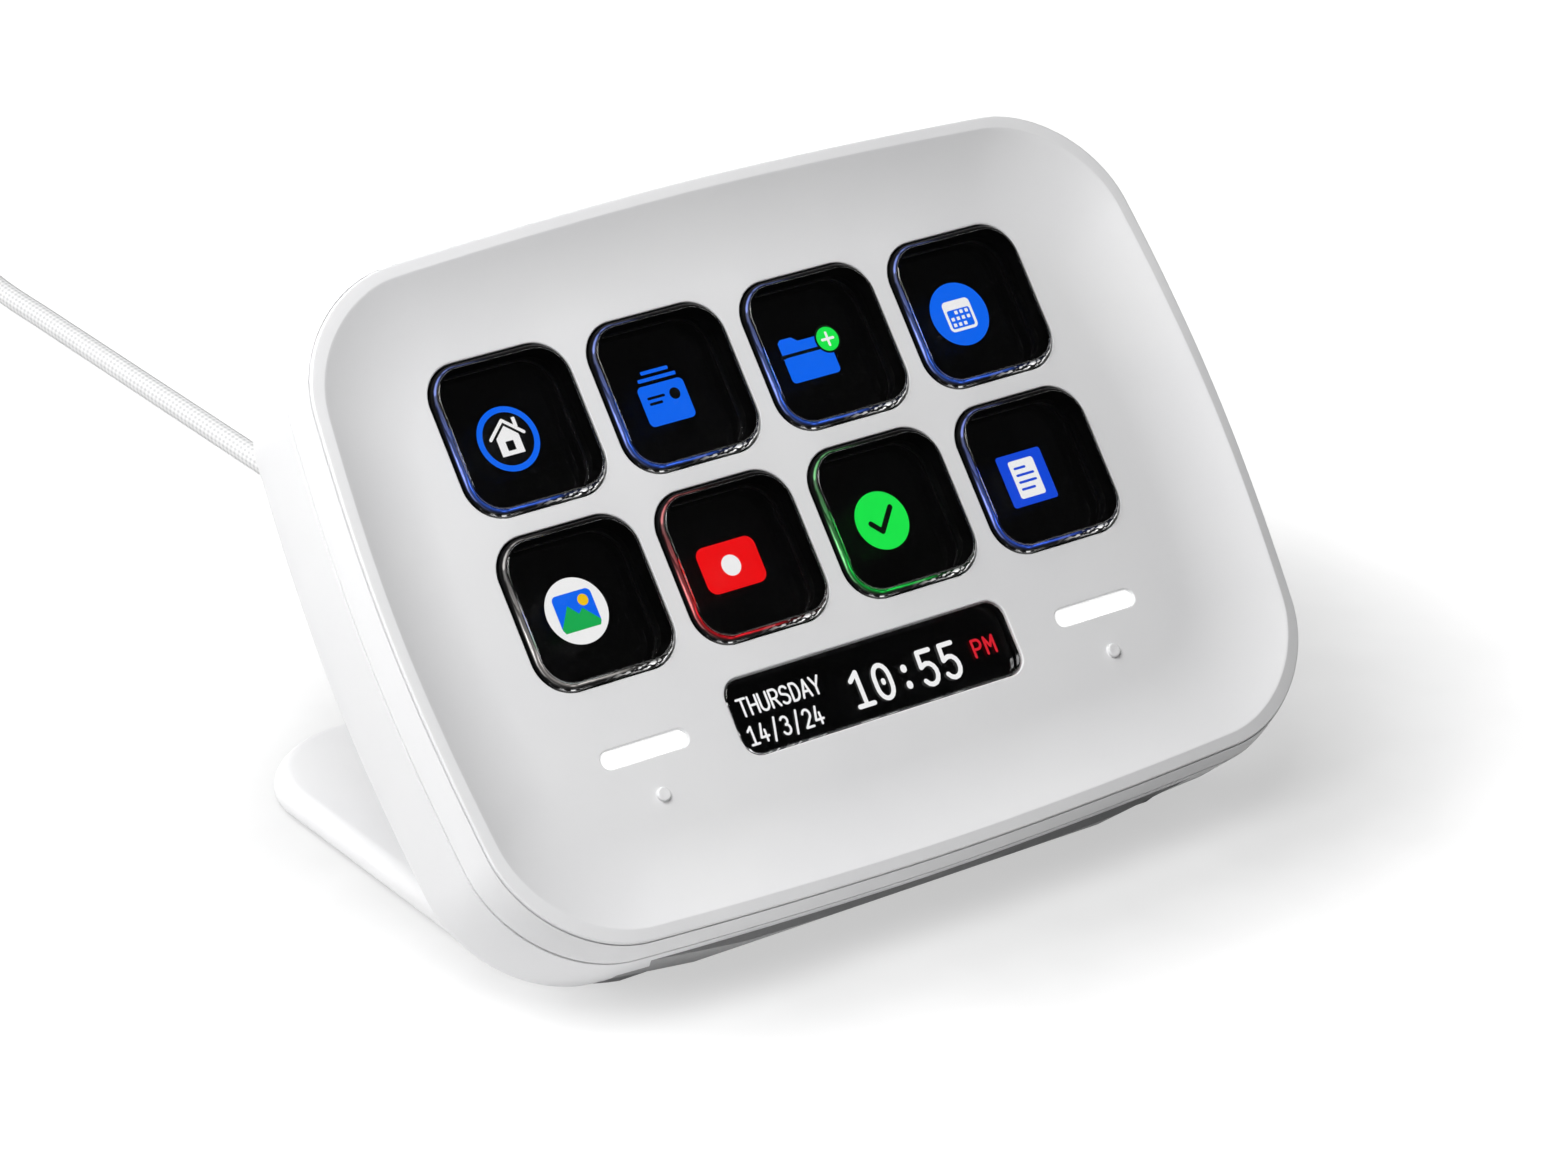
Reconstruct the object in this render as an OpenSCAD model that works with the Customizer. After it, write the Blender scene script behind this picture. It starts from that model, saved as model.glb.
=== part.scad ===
// Desk key pad with eight display keys, an info strip and two lit touch slots.
// Millimetres, +Z up, front towards -Y, origin under the middle of the stand's footprint.

/* [Body] */
// Width of the body at its parting line
body_w = 107.2; // [104:0.2:112]
// Length of the body along its sloping face
body_l = 77.6; // [76:0.2:82]
// Corner radius of the body's outline
corner_r = 12.6; // [10:0.2:15]
// How far each short side bows out in its middle
side_bow = 3.0; // [1:0.1:4]
// How far each long side bows out in its middle
end_bow = 1.9; // [0.5:0.1:2.5]
// Lean of the face back from upright, in degrees
lean = 40; // [38:1:42]
// Depth from the parting line to the back
rear_depth = 12.5; // [12.5:0.1:15]
// Wall of the two shells
wall = 2.0; // [1.6:0.1:2.2]

/* [Face] */
// Width of the flat rim round the dish
rim_w = 1.4; // [1:0.1:2]
// Height of the rim above the flat middle of the face
rim_h = 2.9; // [2:0.1:3.4]
// Width of the dished slope inside the rim
dish_w = 9.6; // [8:0.1:10]
// Distance between key centres
key_pitch = 19.2; // [19:0.1:19.6]
// Width of a key's opening
key_open = 17.1; // [16.6:0.1:17.2]
// How far a key goes in
key_travel = 1.0; // [0.6:0.1:1.0]
// Width of the info strip's opening
strip_w = 35.8; // [30:0.2:36]
// Height of the info strip's opening
strip_h = 8.5; // [7:0.1:8.8]
// Length of a lit touch slot
slot_l = 10.5; // [8:0.1:11]
// Height of a lit touch slot
slot_h = 2.0; // [1.6:0.1:2.2]

/* [Stand] */
// Overall depth on the desk, from the rim's lowest edge to the foot's rear edge
stand_depth = 75.0; // [72:0.5:84]
// Width of the foot plate
foot_w = 87.6; // [80:0.2:92]
// Corner radius of the foot plate
foot_r = 13; // [8:0.5:16]
// Thickness of the foot plate and its sole together
foot_t = 3.0; // [2.8:0.1:3.2]
// Width of the spine that props the body from behind
spine_w = 34; // [30:1:40]

/* [Cable] */
// Diameter of the cable
cable_d = 3.0; // [2.8:0.1:3.2]

/* [Hidden] */
$fn = 48;
eps = 0.01;

// Levels along the face's own depth axis, measured from the flat middle of the face
plate_t = 1.6;
parting_z = -plate_t;
back_z = parting_z - rear_depth;
edge_round = 3.0;
draft = 0.28;
seam = 0.12;
band_taper = 0.78;
rim_fillet = 0.25;
half_w = body_w / 2;
half_l = body_l / 2;
// The key grid sits above the middle of the body by this much
grid_rise = 7.9;

// Level of each layer behind the face
key_proud = 0.85;
key_gap = 0.19;
key_round = 0.9;
key_corner = 3.9;
key_open_corner = 4.1;
key_flange_corner = 4.4;
flange_t = 0.65;
flange_w = key_open + 1.1;
running_gap = 0.05;
flange_top = parting_z - running_gap;
flange_base = flange_top - flange_t;
mat_top = flange_base - key_travel - 0.15;
mat_t = 0.35;
film_t = 0.2;
lcd_top = mat_top - mat_t - film_t;
lcd_t = 1.6;
carrier_t = 1.4;
carrier_back = lcd_top - lcd_t - carrier_t;
board_t = 1.2;
board_top = back_z + wall + 2.0 + board_t;
lcd_w = 78;
lcd_h = 40;
strip_y = -25.7;
slot_x = 28.8;
dot_y = -30.7;
dot_d = 1.5;
touch_board_top = -4.3;

// Screw places on the face, seen from the front
case_spots = [[-43, 20], [43, 20], [-43, -34], [43, -34]];
board_spots = [[-34, 19], [34, 19], [-34, -19], [34, -19]];
carrier_spots = [[-42.6, 10], [42.6, 10], [-42.6, -10], [42.6, -10]];
touch_board_spots = [[-20.7, strip_y], [20.7, strip_y]];
spine_spots = [[-9, -14], [9, -14]];

// Screws as shank diameter, head diameter, head height and length, and the posts that take them
case_screw = [1.7, 3.8, 1.3, 10.5];
board_screw = [1.6, 3.6, 1.1, 4.2];
carrier_screw = [1.3, 2.9, 0.9, 4.6];
touch_screw = [1.1, 2.5, 0.8, 4.0];
spine_screw = [2.0, 4.0, 1.2, 8];
foot_screw = [2.0, 4.2, 0.95, 6.5];
case_post_d = 5;
rear_post_d = 5.4;
board_post_d = 4.4;
carrier_post_d = 3.4;
touch_post_d = 2.9;
case_post_end = -8;

// Placing the face: its back lower edge just meets the desk, its rim sets the front
low_y = -grid_rise - half_l + draft + edge_round * (1 - cos(lean));
low_z = back_z + edge_round * (1 - sin(lean));
face_rise = -(low_y * cos(lean) + low_z * sin(lean));
rim_front = (-grid_rise - half_l + band_taper) * sin(lean) - rim_h * cos(lean);
face_y = -stand_depth / 2 - rim_front;
low_point_y = low_y * sin(lean) - low_z * cos(lean) + face_y;

// Foot and sole
sole_t = 0.6;
sole_inset = 1.0;
sole_lip = 0.8;
lip_w = foot_w - 9.6;
lip_corner = 13;
lip_front = -34;
lip_top = -4.2;
lip_rake = 34;
sole_front = low_point_y - 1.1;
foot_front = low_point_y - 1.5;
foot_rear = stand_depth / 2;
foot_round = 2.1;

// Spine behind the body
spine_rear = 20;
spine_end_h = 15;
spine_top = 33;
gland_z = 7.6;

// Steps of a smooth outline
arc_steps = 9;
long_steps = 9;
short_steps = 7;

function arc(cx, cy, r, start) =
    [for (i = [0:arc_steps]) [cx + r * cos(start + 90 * i / arc_steps), cy + r * sin(start + 90 * i / arc_steps)]];

function between(p, q, steps) = [for (i = [1:1:steps - 1]) p + (q - p) * i / steps];

// Rounded rectangle of half width a and half length b, its sides split so that they can bow
function rounded_rect(a, b, r, across = 1, along = 1) =
    concat(arc(a - r, b - r, r, 0), between([a - r, b], [r - a, b], across),
        arc(r - a, b - r, r, 90), between([-a, b - r], [-a, r - b], along),
        arc(r - a, r - b, r, 180), between([r - a, -b], [a - r, -b], across),
        arc(a - r, r - b, r, 270), between([a, r - b], [a, b - r], along));

function at_level(outline, y, z) = [for (p = outline) [p.x, p.y + y, z]];

// The body's outline at one level, grown or shrunk from that of the parting line
function body_ring(grow, z) =
    let (a = half_w + grow, b = half_l + grow, r = corner_r + grow / 2)
    at_level([for (p = rounded_rect(a, b, r, long_steps, short_steps))
        [p.x - sign(p.x) * side_bow * pow(p.y / b, 2), p.y - sign(p.y) * end_bow * pow(p.x / a, 2)]],
        -grid_rise, z);

// Skin between stacked rings of equal length, as triangles
function skin_faces(n, from, to) =
    [for (j = [from:to - 1]) for (i = [0:n - 1]) let (k = (i + 1) % n)
        each [[j * n + i, (j + 1) * n + i, (j + 1) * n + k], [j * n + i, (j + 1) * n + k, j * n + k]]];

// Solid through stacked rings, closed by its first and last ring
module loft(rings) {
    n = len(rings[0]);
    m = len(rings);
    polyhedron([for (ring = rings) each ring],
        concat([[for (i = [0:n - 1]) i]], skin_faces(n, 0, m - 1),
            [[for (i = [n - 1:-1:0]) (m - 1) * n + i]]), convexity = 8);
}

// Solid ring whose cross-section runs through the given rings and back to the first
module loop_loft(rings) {
    n = len(rings[0]);
    m = len(rings);
    polyhedron([for (ring = rings) each ring],
        concat(skin_faces(n, 0, m - 1),
            [for (i = [0:n - 1]) let (k = (i + 1) % n)
                each [[(m - 1) * n + i, i, k], [(m - 1) * n + i, k, (m - 1) * n + k]]]), convexity = 8);
}

// Moves a piece drawn on the face, with +Z out of it, to its place in the leaning body
module on_face() translate([0, face_y, face_rise]) rotate([90 - lean, 0, 0]) children();

// Rounded slab with true round corners, from level z0 up to z1
module slab(w, h, r, z0, z1) {
    translate([0, 0, z0]) linear_extrude(z1 - z0) {
        square([w - 2 * r, h], center = true);
        square([w, h - 2 * r], center = true);
        for (x = [-1, 1])
            for (y = [-1, 1])
                translate([x * (w / 2 - r), y * (h / 2 - r)]) circle(r);
    }
}

module post(spot, d, z0, z1) translate([spot.x, spot.y, z0]) cylinder(d = d, h = z1 - z0);

module at_keys() {
    for (row = [0.5, -0.5])
        for (col = [-1.5:1.5])
            translate([col * key_pitch, row * key_pitch, 0]) children();
}

module everything_above(z) translate([-100, -100, z]) cube(200);

// ---- Shells -------------------------------------------------------------

function dish_ring(u) = body_ring(-band_taper - rim_w - dish_w * u, rim_h * pow(1 - u, 2));

module face_outer() {
    loft(concat([body_ring(-seam, parting_z), body_ring(0, parting_z + seam),
        body_ring(rim_fillet / 10 - band_taper, rim_h - rim_fillet),
        body_ring(-band_taper - rim_fillet * 0.3, rim_h - rim_fillet * 0.3),
        body_ring(-band_taper - rim_fillet, rim_h)],
        [for (u = [0, 0.1, 0.22, 0.36, 0.52, 0.74, 1]) dish_ring(u)]));
}

// Hollow behind the rim and the dished slope
module face_hollow() {
    roof = rim_h - wall;
    loop_loft([body_ring(-wall, parting_z - 0.2), body_ring(-wall - 0.5, roof), body_ring(-wall - 1.1, roof),
        body_ring(-wall - 2, roof - 0.7), body_ring(-wall - 4, roof - 1.5),
        body_ring(-wall - 6, roof - 2.15), body_ring(-wall - 7.8, parting_z - 0.2)]);
}

module face_openings() {
    at_keys() slab(key_open, key_open, key_open_corner, parting_z - 1, 1);
    translate([0, strip_y, 0]) slab(strip_w, strip_h, 2.1, parting_z - 1, 1);
    for (side = [-1, 1])
        translate([side * slot_x, strip_y, 0]) slab(slot_l, slot_h, slot_h / 2 - eps, parting_z - 1, 1);
}

// Raised dot that a finger finds under each lit slot
module touch_dot() {
    rotate_extrude() polygon([[0, -0.4], [dot_d / 2, -0.4], [dot_d / 2, 0.1], [dot_d * 0.4, 0.26],
        [dot_d * 0.24, 0.36], [0, 0.4]]);
}

module face_plate() color("white") on_face() {
    difference() {
        union() {
            difference() {
                face_outer();
                face_hollow();
                face_openings();
            }
            for (spot = case_spots) post(spot, case_post_d, case_post_end, -1);
            for (spot = carrier_spots) post(spot, carrier_post_d, lcd_top - lcd_t, -1);
            for (spot = touch_board_spots) post(spot, touch_post_d, touch_board_top, -1);
            for (side = [-1, 1]) translate([side * slot_x, dot_y, 0]) touch_dot();
        }
        for (spot = case_spots) post(spot, case_screw[0], case_post_end - 1, -2);
        for (spot = carrier_spots) post(spot, carrier_screw[0], lcd_top - lcd_t - 1, -2);
        for (spot = touch_board_spots) post(spot, touch_screw[0], touch_board_top - 1, -1.4);
    }
}

// One ring of the rounded edge between the back and the sides
function back_ring(grow, turn) =
    body_ring(grow - draft - edge_round * (1 - cos(turn)), back_z + edge_round * (1 - sin(turn)));

module rear_outer(grow = 0) {
    loft(concat([for (turn = [90:-18:0]) back_ring(grow, turn)],
        [body_ring(grow, parting_z - seam), body_ring(grow - seam, parting_z)]));
}

module rear_hollow() {
    floor_z = back_z + wall;
    loft([body_ring(-wall - 2.4, floor_z), body_ring(-wall - 1.2, floor_z + 0.4),
        body_ring(-wall - 0.5, floor_z + 1.4), body_ring(-wall, parting_z + 1)]);
}

// Lip that registers the rear shell inside the front one
module register_lip() {
    loop_loft([body_ring(-wall + 0.1, parting_z - 1.6), body_ring(-wall + 0.1, parting_z - eps),
        body_ring(-wall - 0.35, parting_z - eps), body_ring(-wall - 0.35, parting_z + 1),
        body_ring(-wall - 1.1, parting_z + 1), body_ring(-wall - 1.1, parting_z - 1)]);
}

// Block of the desk side, up to a height above the desk, as wide as the foot
module foot_space(height) {
    translate([-foot_w / 2 - eps, -stand_depth, -20]) cube([foot_w + 2 * eps, 2 * stand_depth, height + 20]);
}

foot_screw_spots = [[-27, low_point_y + 1.8], [27, low_point_y + 1.8], [-9, 8], [9, 8]];

module rear_housing() color("white") difference() {
    union() {
        difference() {
            on_face() rear_outer();
            difference() {
                on_face() rear_hollow();
                foot_space(foot_t + wall);
            }
        }
        on_face() difference() {
            union() {
                register_lip();
                for (spot = case_spots) post(spot, rear_post_d, back_z + wall - 1, case_post_end - running_gap);
                for (spot = board_spots) post(spot, board_post_d, back_z + wall - 1, board_top - board_t);
            }
            for (spot = board_spots) post(spot, board_screw[0], back_z + 0.8, 0);
        }
        for (i = [0, 1]) post(foot_screw_spots[i], rear_post_d, foot_t, foot_t + 5.5);
    }
    foot_space(foot_t);
    on_face() {
        for (spot = case_spots) {
            post(spot, case_screw[0] + 0.5, back_z - 1, 0);
            post(spot, case_screw[1] + 0.2, back_z - 1, back_z + 1.6);
        }
        for (spot = spine_spots) post(spot, spine_screw[0] + 0.4, back_z - 1, back_z + wall + 1);
    }
    for (i = [0, 1]) post(foot_screw_spots[i], foot_screw[0], foot_t - 1, foot_t + 4.5);
    lead_passage();
}

// Passage of the inner lead through the housing's back wall
module lead_passage() {
    translate([0, spine_rear, gland_z]) rotate([90, 0, 0]) cylinder(d = cable_d + 0.6, h = spine_rear - lead_in_y + 2);
}

// ---- Stand --------------------------------------------------------------

// Points of a quadratic curve from p to q, pulled towards c
function bend(p, c, q, steps) =
    [for (i = [0:steps]) let (t = i / steps) p * pow(1 - t, 2) + c * 2 * t * (1 - t) + q * pow(t, 2)];

// Depth at which the housing's back face stands, at a height above the desk
function back_face_y(z) = (z - face_rise - back_z * sin(lean)) * tan(lean) - back_z * cos(lean) + face_y;

module spine_profile(inset) {
    top = spine_top - 2 * inset;
    end_h = spine_end_h - inset;
    rear = spine_rear - inset;
    start = inset > 0 ? -2 : 0;
    base = foot_t - (inset > 0 ? 1 : 0);
    rotate([90, 0, 90]) translate([0, 0, -spine_w / 2 + inset]) linear_extrude(spine_w - 2 * inset)
        polygon(concat([[back_face_y(base) + start, base], [rear, base]],
            bend([rear, end_h], [rear - 9, end_h + 2], [back_face_y(top), top], 8),
            [[back_face_y(top) + start, top]]));
}

// Upright block with rounded rear corners, which rounds the spine in plan
module spine_plan() {
    translate([0, -10, 0]) slab(spine_w, 2 * (spine_rear + 10), 8, 0, spine_top + 1);
}

// Screw posts inside the spine, each running on into the wall opposite its screw
module spine_posts() {
    for (i = [2, 3]) post(foot_screw_spots[i], rear_post_d, foot_t, spine_top);
    on_face() for (spot = spine_spots) post(spot, rear_post_d, back_z - spine_top, back_z);
}

module stand_spine() color("white") difference() {
    intersection() {
        spine_profile(0);
        spine_plan();
        union() {
            difference() {
                translate([-spine_w, -stand_depth, 0]) cube([2 * spine_w, 2 * stand_depth, 2 * spine_top]);
                spine_profile(wall);
            }
            spine_posts();
        }
    }
    for (i = [2, 3]) post(foot_screw_spots[i], foot_screw[0], foot_t - 1, foot_t + 5);
    on_face() for (spot = spine_spots) post(spot, spine_screw[0], back_z - 6, back_z + 1);
    translate([0, spine_rear + 1, gland_z]) rotate([90, 0, 0]) cylinder(d = 6, h = wall + 2);
}

function foot_ring(inset, z) =
    at_level(rounded_rect(foot_w / 2 - inset, (foot_rear - foot_front) / 2 - inset, foot_r - inset),
        (foot_rear + foot_front) / 2, z);

// Space behind the body's lowest line, between two heights above the desk
module behind_low_point(z0, z1) {
    translate([-foot_w, low_point_y, z0]) cube([2 * foot_w, 2 * stand_depth, z1 - z0]);
}

module foot_blank() {
    loft(concat([foot_ring(0.3, sole_t)], [for (turn = [0:22.5:90])
        foot_ring(foot_round * (1 - cos(turn)), foot_t - foot_round * (1 - sin(turn)))]));
}

// Foot with rounded corners, joined to the slice of the body's lower edge that stands on it
module foot_plate() color("white") difference() {
    union() {
        intersection() {
            foot_blank();
            behind_low_point(0, 10);
        }
        intersection() {
            on_face() rear_outer();
            translate([-foot_w / 2, -stand_depth, sole_t]) cube([foot_w, 2 * stand_depth, foot_t - sole_t]);
        }
    }
    for (spot = foot_screw_spots) {
        post(spot, foot_screw[0] + 0.7, 0, foot_t + 1);
        post(spot, foot_screw[1] + 0.4, 0, sole_t + 1.0);
    }
}

// Rubber sole: flat under the foot, with a thin lip that wraps up round the body's lower edge
module foot_sole() color([0.3, 0.3, 0.31]) {
    difference() {
        union() {
            intersection() {
                on_face() rear_outer(sole_lip);
                translate([0, lip_front + foot_w / 2, 0]) slab(lip_w, foot_w, lip_corner, 0, 7);
                translate([-foot_w, -stand_depth, 0]) cube([2 * foot_w, stand_depth + low_point_y + 0.5, 7]);
            }
            intersection() {
                loft([foot_ring(sole_inset, 0), foot_ring(sole_inset, sole_t)]);
                behind_low_point(0, 1);
            }
        }
        intersection() {
            on_face() rear_outer();
            translate([-foot_w, -stand_depth, sole_t]) cube([2 * foot_w, 2 * stand_depth, 20]);
        }
        behind_low_point(sole_t, 20);
        on_face() everything_above(lip_top);
        translate([0, sole_front, 0]) rotate([-lip_rake, 0, 0])
            translate([-foot_w, -40, -20]) cube([2 * foot_w, 40, 20]);
    }
}

// ---- Keys and what lies behind them -------------------------------------

function key_ring(inset, z) =
    let (half = key_open / 2 - key_gap - inset)
    at_level([for (q = [0:3]) for (i = [0:5])
        let (a = 90 * q + 90 * i / 5, r = key_corner - inset, s = half - r)
        [(q == 0 || q == 3 ? s : -s) + r * cos(a), (q < 2 ? s : -s) + r * sin(a)]], 0, z);

// Clear cap with a softened top edge and a flange that keeps it behind the face plate
module key_cap(index) {
    col = (index - 1) % 4;
    row = floor((index - 1) / 4);
    color([0.1, 0.1, 0.12]) on_face() translate([(col - 1.5) * key_pitch, (0.5 - row) * key_pitch, 0]) {
        loft(concat([key_ring(0, flange_base)],
            [for (turn = [0, 30, 60, 90])
                key_ring(key_round * (1 - cos(turn)), key_proud - key_round * (1 - sin(turn)))]));
        slab(flange_w, flange_w, key_flange_corner, flange_base, flange_top);
    }
}

module key_windows(w, r, z0, z1) at_keys() slab(w, w, r, z0, z1);

// Silicone mat with a springy foot under each corner of every key
module key_mat() color([0.16, 0.16, 0.17]) on_face() {
    difference() {
        slab(lcd_w, lcd_h, 2.5, mat_top - mat_t, mat_top);
        key_windows(15.2, 3.6, mat_top - mat_t - 1, mat_top + 1);
    }
    at_keys()
        for (x = [-1, 1])
            for (y = [-1, 1])
                translate([x * 7.25, y * 7.25, mat_top - eps]) cylinder(d = 1.1, h = 0.08);
}

module contact_film() color([0.75, 0.55, 0.2]) on_face() difference() {
    slab(lcd_w, lcd_h, 2.5, lcd_top, lcd_top + film_t);
    key_windows(15.2, 3.6, lcd_top - 1, lcd_top + 1);
}

module lcd_panel() color([0.05, 0.05, 0.06]) on_face() slab(lcd_w, lcd_h, 1, lcd_top - lcd_t, lcd_top);

// Tray that holds the display's backlight and screws up behind the face plate
module lcd_carrier() color([0.85, 0.86, 0.88]) on_face() difference() {
    union() {
        slab(lcd_w + 2.4, lcd_h + 2.4, 2, carrier_back, lcd_top + film_t + mat_t);
        for (spot = carrier_spots)
            translate([spot.x, spot.y, carrier_back]) {
                cylinder(d = 5, h = carrier_t);
                translate([-sign(spot.x) * 2.5, 0, carrier_t / 2]) cube([5, 5, carrier_t], center = true);
            }
    }
    slab(lcd_w + 0.1, lcd_h + 0.1, 1, lcd_top - lcd_t, 1);
    for (spot = carrier_spots) {
        post(spot, carrier_screw[0] + 0.4, carrier_back - 1, 1);
        post(spot, carrier_post_d + 0.2, lcd_top - lcd_t, 1);
    }
    translate([0, lcd_h / 2 + 1, lcd_top - 0.5]) cube([ribbon_w + 1, 3, 1.4], center = true);
}

module info_lens() color([0.03, 0.03, 0.04]) on_face() translate([0, strip_y, 0]) {
    slab(strip_w - 0.3, strip_h - 0.3, 2.0, parting_z, -0.12);
    slab(strip_w + 1.6, strip_h + 1.6, 2.6, parting_z - 0.6, parting_z);
}

module info_display() color([0.12, 0.13, 0.14]) on_face() translate([0, strip_y - 0.4, 0]) {
    slab(strip_w + 1.2, strip_h + 0.8, 0.6, parting_z - 2.2, parting_z - 0.6);
}

// Clear pill that fills a lit slot, with a flange behind and a foot over the lamps
module light_guide(side) color([1, 1, 1, 0.9]) on_face() translate([side * slot_x, strip_y, 0]) {
    slab(slot_l - 0.1, slot_h - 0.1, (slot_h - 0.1) / 2 - eps, parting_z, -0.2);
    slab(slot_l + 1.8, slot_h + 1.8, 1.6, parting_z - 0.8, parting_z);
    slab(slot_l - 1, slot_h, 0.8, -3.5, parting_z - 0.8);
}

module touch_pads() color([0.8, 0.5, 0.25]) on_face()
    for (side = [-1, 1]) post([side * slot_x, dot_y - 0.6], 5.2, parting_z - 0.3, parting_z);

module touch_springs() color([0.8, 0.7, 0.4]) on_face()
    for (side = [-1, 1]) post([side * slot_x, dot_y - 0.6], 1.6, touch_board_top, parting_z - 0.3);

touch_board_y = -28.1;

module touch_board() color([0.1, 0.32, 0.2]) on_face() difference() {
    translate([0, touch_board_y, 0]) slab(78, 12.6, 1.5, touch_board_top - 1, touch_board_top);
    for (spot = touch_board_spots) post(spot, touch_screw[0] + 0.5, -6, -4);
}

module status_leds() color([0.95, 0.95, 0.85]) on_face()
    for (side = [-1, 1])
        for (dx = [-2.5, 2.5])
            translate([side * slot_x + dx, strip_y, -3.95]) cube([1.6, 0.8, 0.7], center = true);

main_board_y = -0.5;

module main_board() color([0.08, 0.28, 0.18]) on_face() difference() {
    translate([0, main_board_y, 0]) slab(76, 46, 2, board_top - board_t, board_top);
    for (spot = board_spots) post(spot, board_screw[0] + 0.6, board_top - 3, board_top + 1);
}

ribbon_w = 14;
ribbon_t = 0.25;
touch_ribbon_x = 27;

// Chips and sockets on the front of the main board
module board_chips() color([0.13, 0.13, 0.14]) on_face() translate([0, 0, board_top]) {
    translate([-12, -2, 0]) slab(12, 12, 0.4, 0, 0.9);
    translate([10, 2, 0]) slab(8, 10, 0.3, 0, 0.9);
    translate([-24, 6, 0]) slab(5, 5, 0.3, 0, 0.8);
    translate([0, 17.5, 0]) slab(ribbon_w + 2, 3, 0.3, 0, 1.0);
    translate([touch_ribbon_x, -20, 0]) slab(9, 3, 0.3, 0, 1.0);
}

// Strip of even thickness along a bent path, given as points of its middle line
module bent_strip(path, w) {
    rotate([90, 0, 90]) translate([0, 0, -w / 2])
        for (i = [0:len(path) - 2])
            linear_extrude(w) strip_piece(path[i], path[i + 1]);
}

module strip_piece(p, q) {
    run = q - p;
    translate(p) rotate(atan2(run.y, run.x))
        translate([-ribbon_t / 2, -ribbon_t / 2]) square([norm(run) + ribbon_t, ribbon_t]);
}

// Ribbon from the display's upper edge round to its socket on the main board
module display_ribbon() color([0.8, 0.5, 0.2]) on_face() {
    edge = lcd_h / 2;
    socket_z = board_top + 0.5;
    bent_strip([[edge + 0.15, lcd_top - 0.5], [edge + 2.4, lcd_top - 0.5], [edge + 2.4, socket_z],
        [19.3, socket_z]], ribbon_w);
}

// Ribbon from the touch board's back to its socket on the main board
module touch_ribbon() color([0.8, 0.5, 0.2]) on_face() translate([touch_ribbon_x, 0, 0]) {
    socket_z = board_top + 0.5;
    start_z = touch_board_top - 1 - ribbon_t / 2;
    bent_strip([[-27, start_z], [-25, start_z], [-25, socket_z], [-21.7, socket_z]], 7);
}

// Socket at the board's lower edge where the inner lead ends
lead_socket = [0, -20.5];

module lead_connector() color([0.92, 0.92, 0.88]) on_face()
    translate([lead_socket.x, lead_socket.y, board_top]) difference() {
        translate([-4.5, -2.5, 0]) cube([9, 4.5, 1.7]);
        translate([-3.6, -3, 0.4]) cube([7.2, 3, 0.9]);
    }

// ---- Screws -------------------------------------------------------------

// Screw pointing up +Z, its head's top at the origin
module screw(sizes) {
    d = sizes[0];
    head_d = sizes[1];
    head_h = sizes[2];
    difference() {
        cylinder(d = head_d, h = head_h);
        translate([0, 0, -eps]) for (turn = [0, 90])
            rotate(turn) translate([-head_d * 0.3, -0.2, 0]) cube([head_d * 0.6, 0.4, head_h * 0.5]);
    }
    translate([0, 0, head_h - eps]) cylinder(d = d, h = sizes[3] - head_h);
}

module case_screws() color("silver") on_face()
    for (spot = case_spots) translate([spot.x, spot.y, back_z + 0.3]) screw(case_screw);

module board_screws() color("silver") on_face()
    for (spot = board_spots) translate([spot.x, spot.y, board_top + board_screw[2]]) mirror([0, 0, 1]) screw(board_screw);

module carrier_screws() color("silver") on_face()
    for (spot = carrier_spots) translate([spot.x, spot.y, carrier_back - carrier_screw[2]]) screw(carrier_screw);

module touch_board_screws() color("silver") on_face()
    for (spot = touch_board_spots) translate([spot.x, spot.y, touch_board_top - 1 - touch_screw[2]]) screw(touch_screw);

module spine_screws() color("silver") on_face()
    for (spot = spine_spots) translate([spot.x, spot.y, back_z + wall + spine_screw[2]]) mirror([0, 0, 1]) screw(spine_screw);

module foot_screws() color("silver")
    for (spot = foot_screw_spots) translate([spot.x, spot.y, sole_t + 0.05]) screw(foot_screw);

// ---- Cable --------------------------------------------------------------

// Turned gland: grips the spine's rear wall and tapers along the cable
gland_start = spine_rear - wall - 1.2;
gland_exit = spine_rear + 11;
gland_l = gland_exit - gland_start;

module cable_gland() color("white") translate([0, gland_start, gland_z]) rotate([-90, 0, 0]) difference() {
    rotate_extrude() polygon([[0, 0], [3.8, 0], [3.8, 1.2], [3.0, 1.2], [3.0, 1.2 + wall], [3.6, 1.2 + wall],
        [3.6, 2.2 + wall], [2.7, 3 + wall], [cable_d / 2 + 0.35, gland_l], [0, gland_l]]);
    translate([0, 0, -1]) cylinder(d = cable_d, h = gland_l + 2);
}

lead_in_y = back_face_y(gland_z) - 5;

// Lead from the gland through the hollow spine into the housing
module inner_lead() color("white")
    translate([0, gland_exit, gland_z]) rotate([90, 0, 0]) cylinder(d = cable_d, h = gland_exit - lead_in_y);

// Middle line of the cable from the gland to the coil, along the desk behind the object
cable_route = [[0, 31, 7.6], [0, 32.5, 7.6], [0, 34, 7.6], [0, 38, 7.0], [0, 42, 5.5], [0, 46, 3.7], [0, 50, 2.3],
    [0, 55, 1.5], [0, 66, 1.5], [0, 78, 1.5], [0, 90, 1.5], [0, 102, 1.5], [0, 114, 1.5], [0, 126, 1.5],
    [0, 138, 1.5], [0, 150, 1.5], [0, 162, 1.5], [0, 174, 1.5], [1, 184, 1.5], [3.5, 194, 1.5], [5, 203, 1.5],
    [5, 210, 1.5]];

// Middle line of the short tail from the coil's outer turn to the plug
tail_route = [[-48, 210, 4.5], [-48, 205, 4.4], [-48, 200, 3.9], [-48, 195, 3.1], [-48, 191, 2.8],
    [-48, 189.5, 2.8], [-48, 188, 2.8]];

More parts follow.
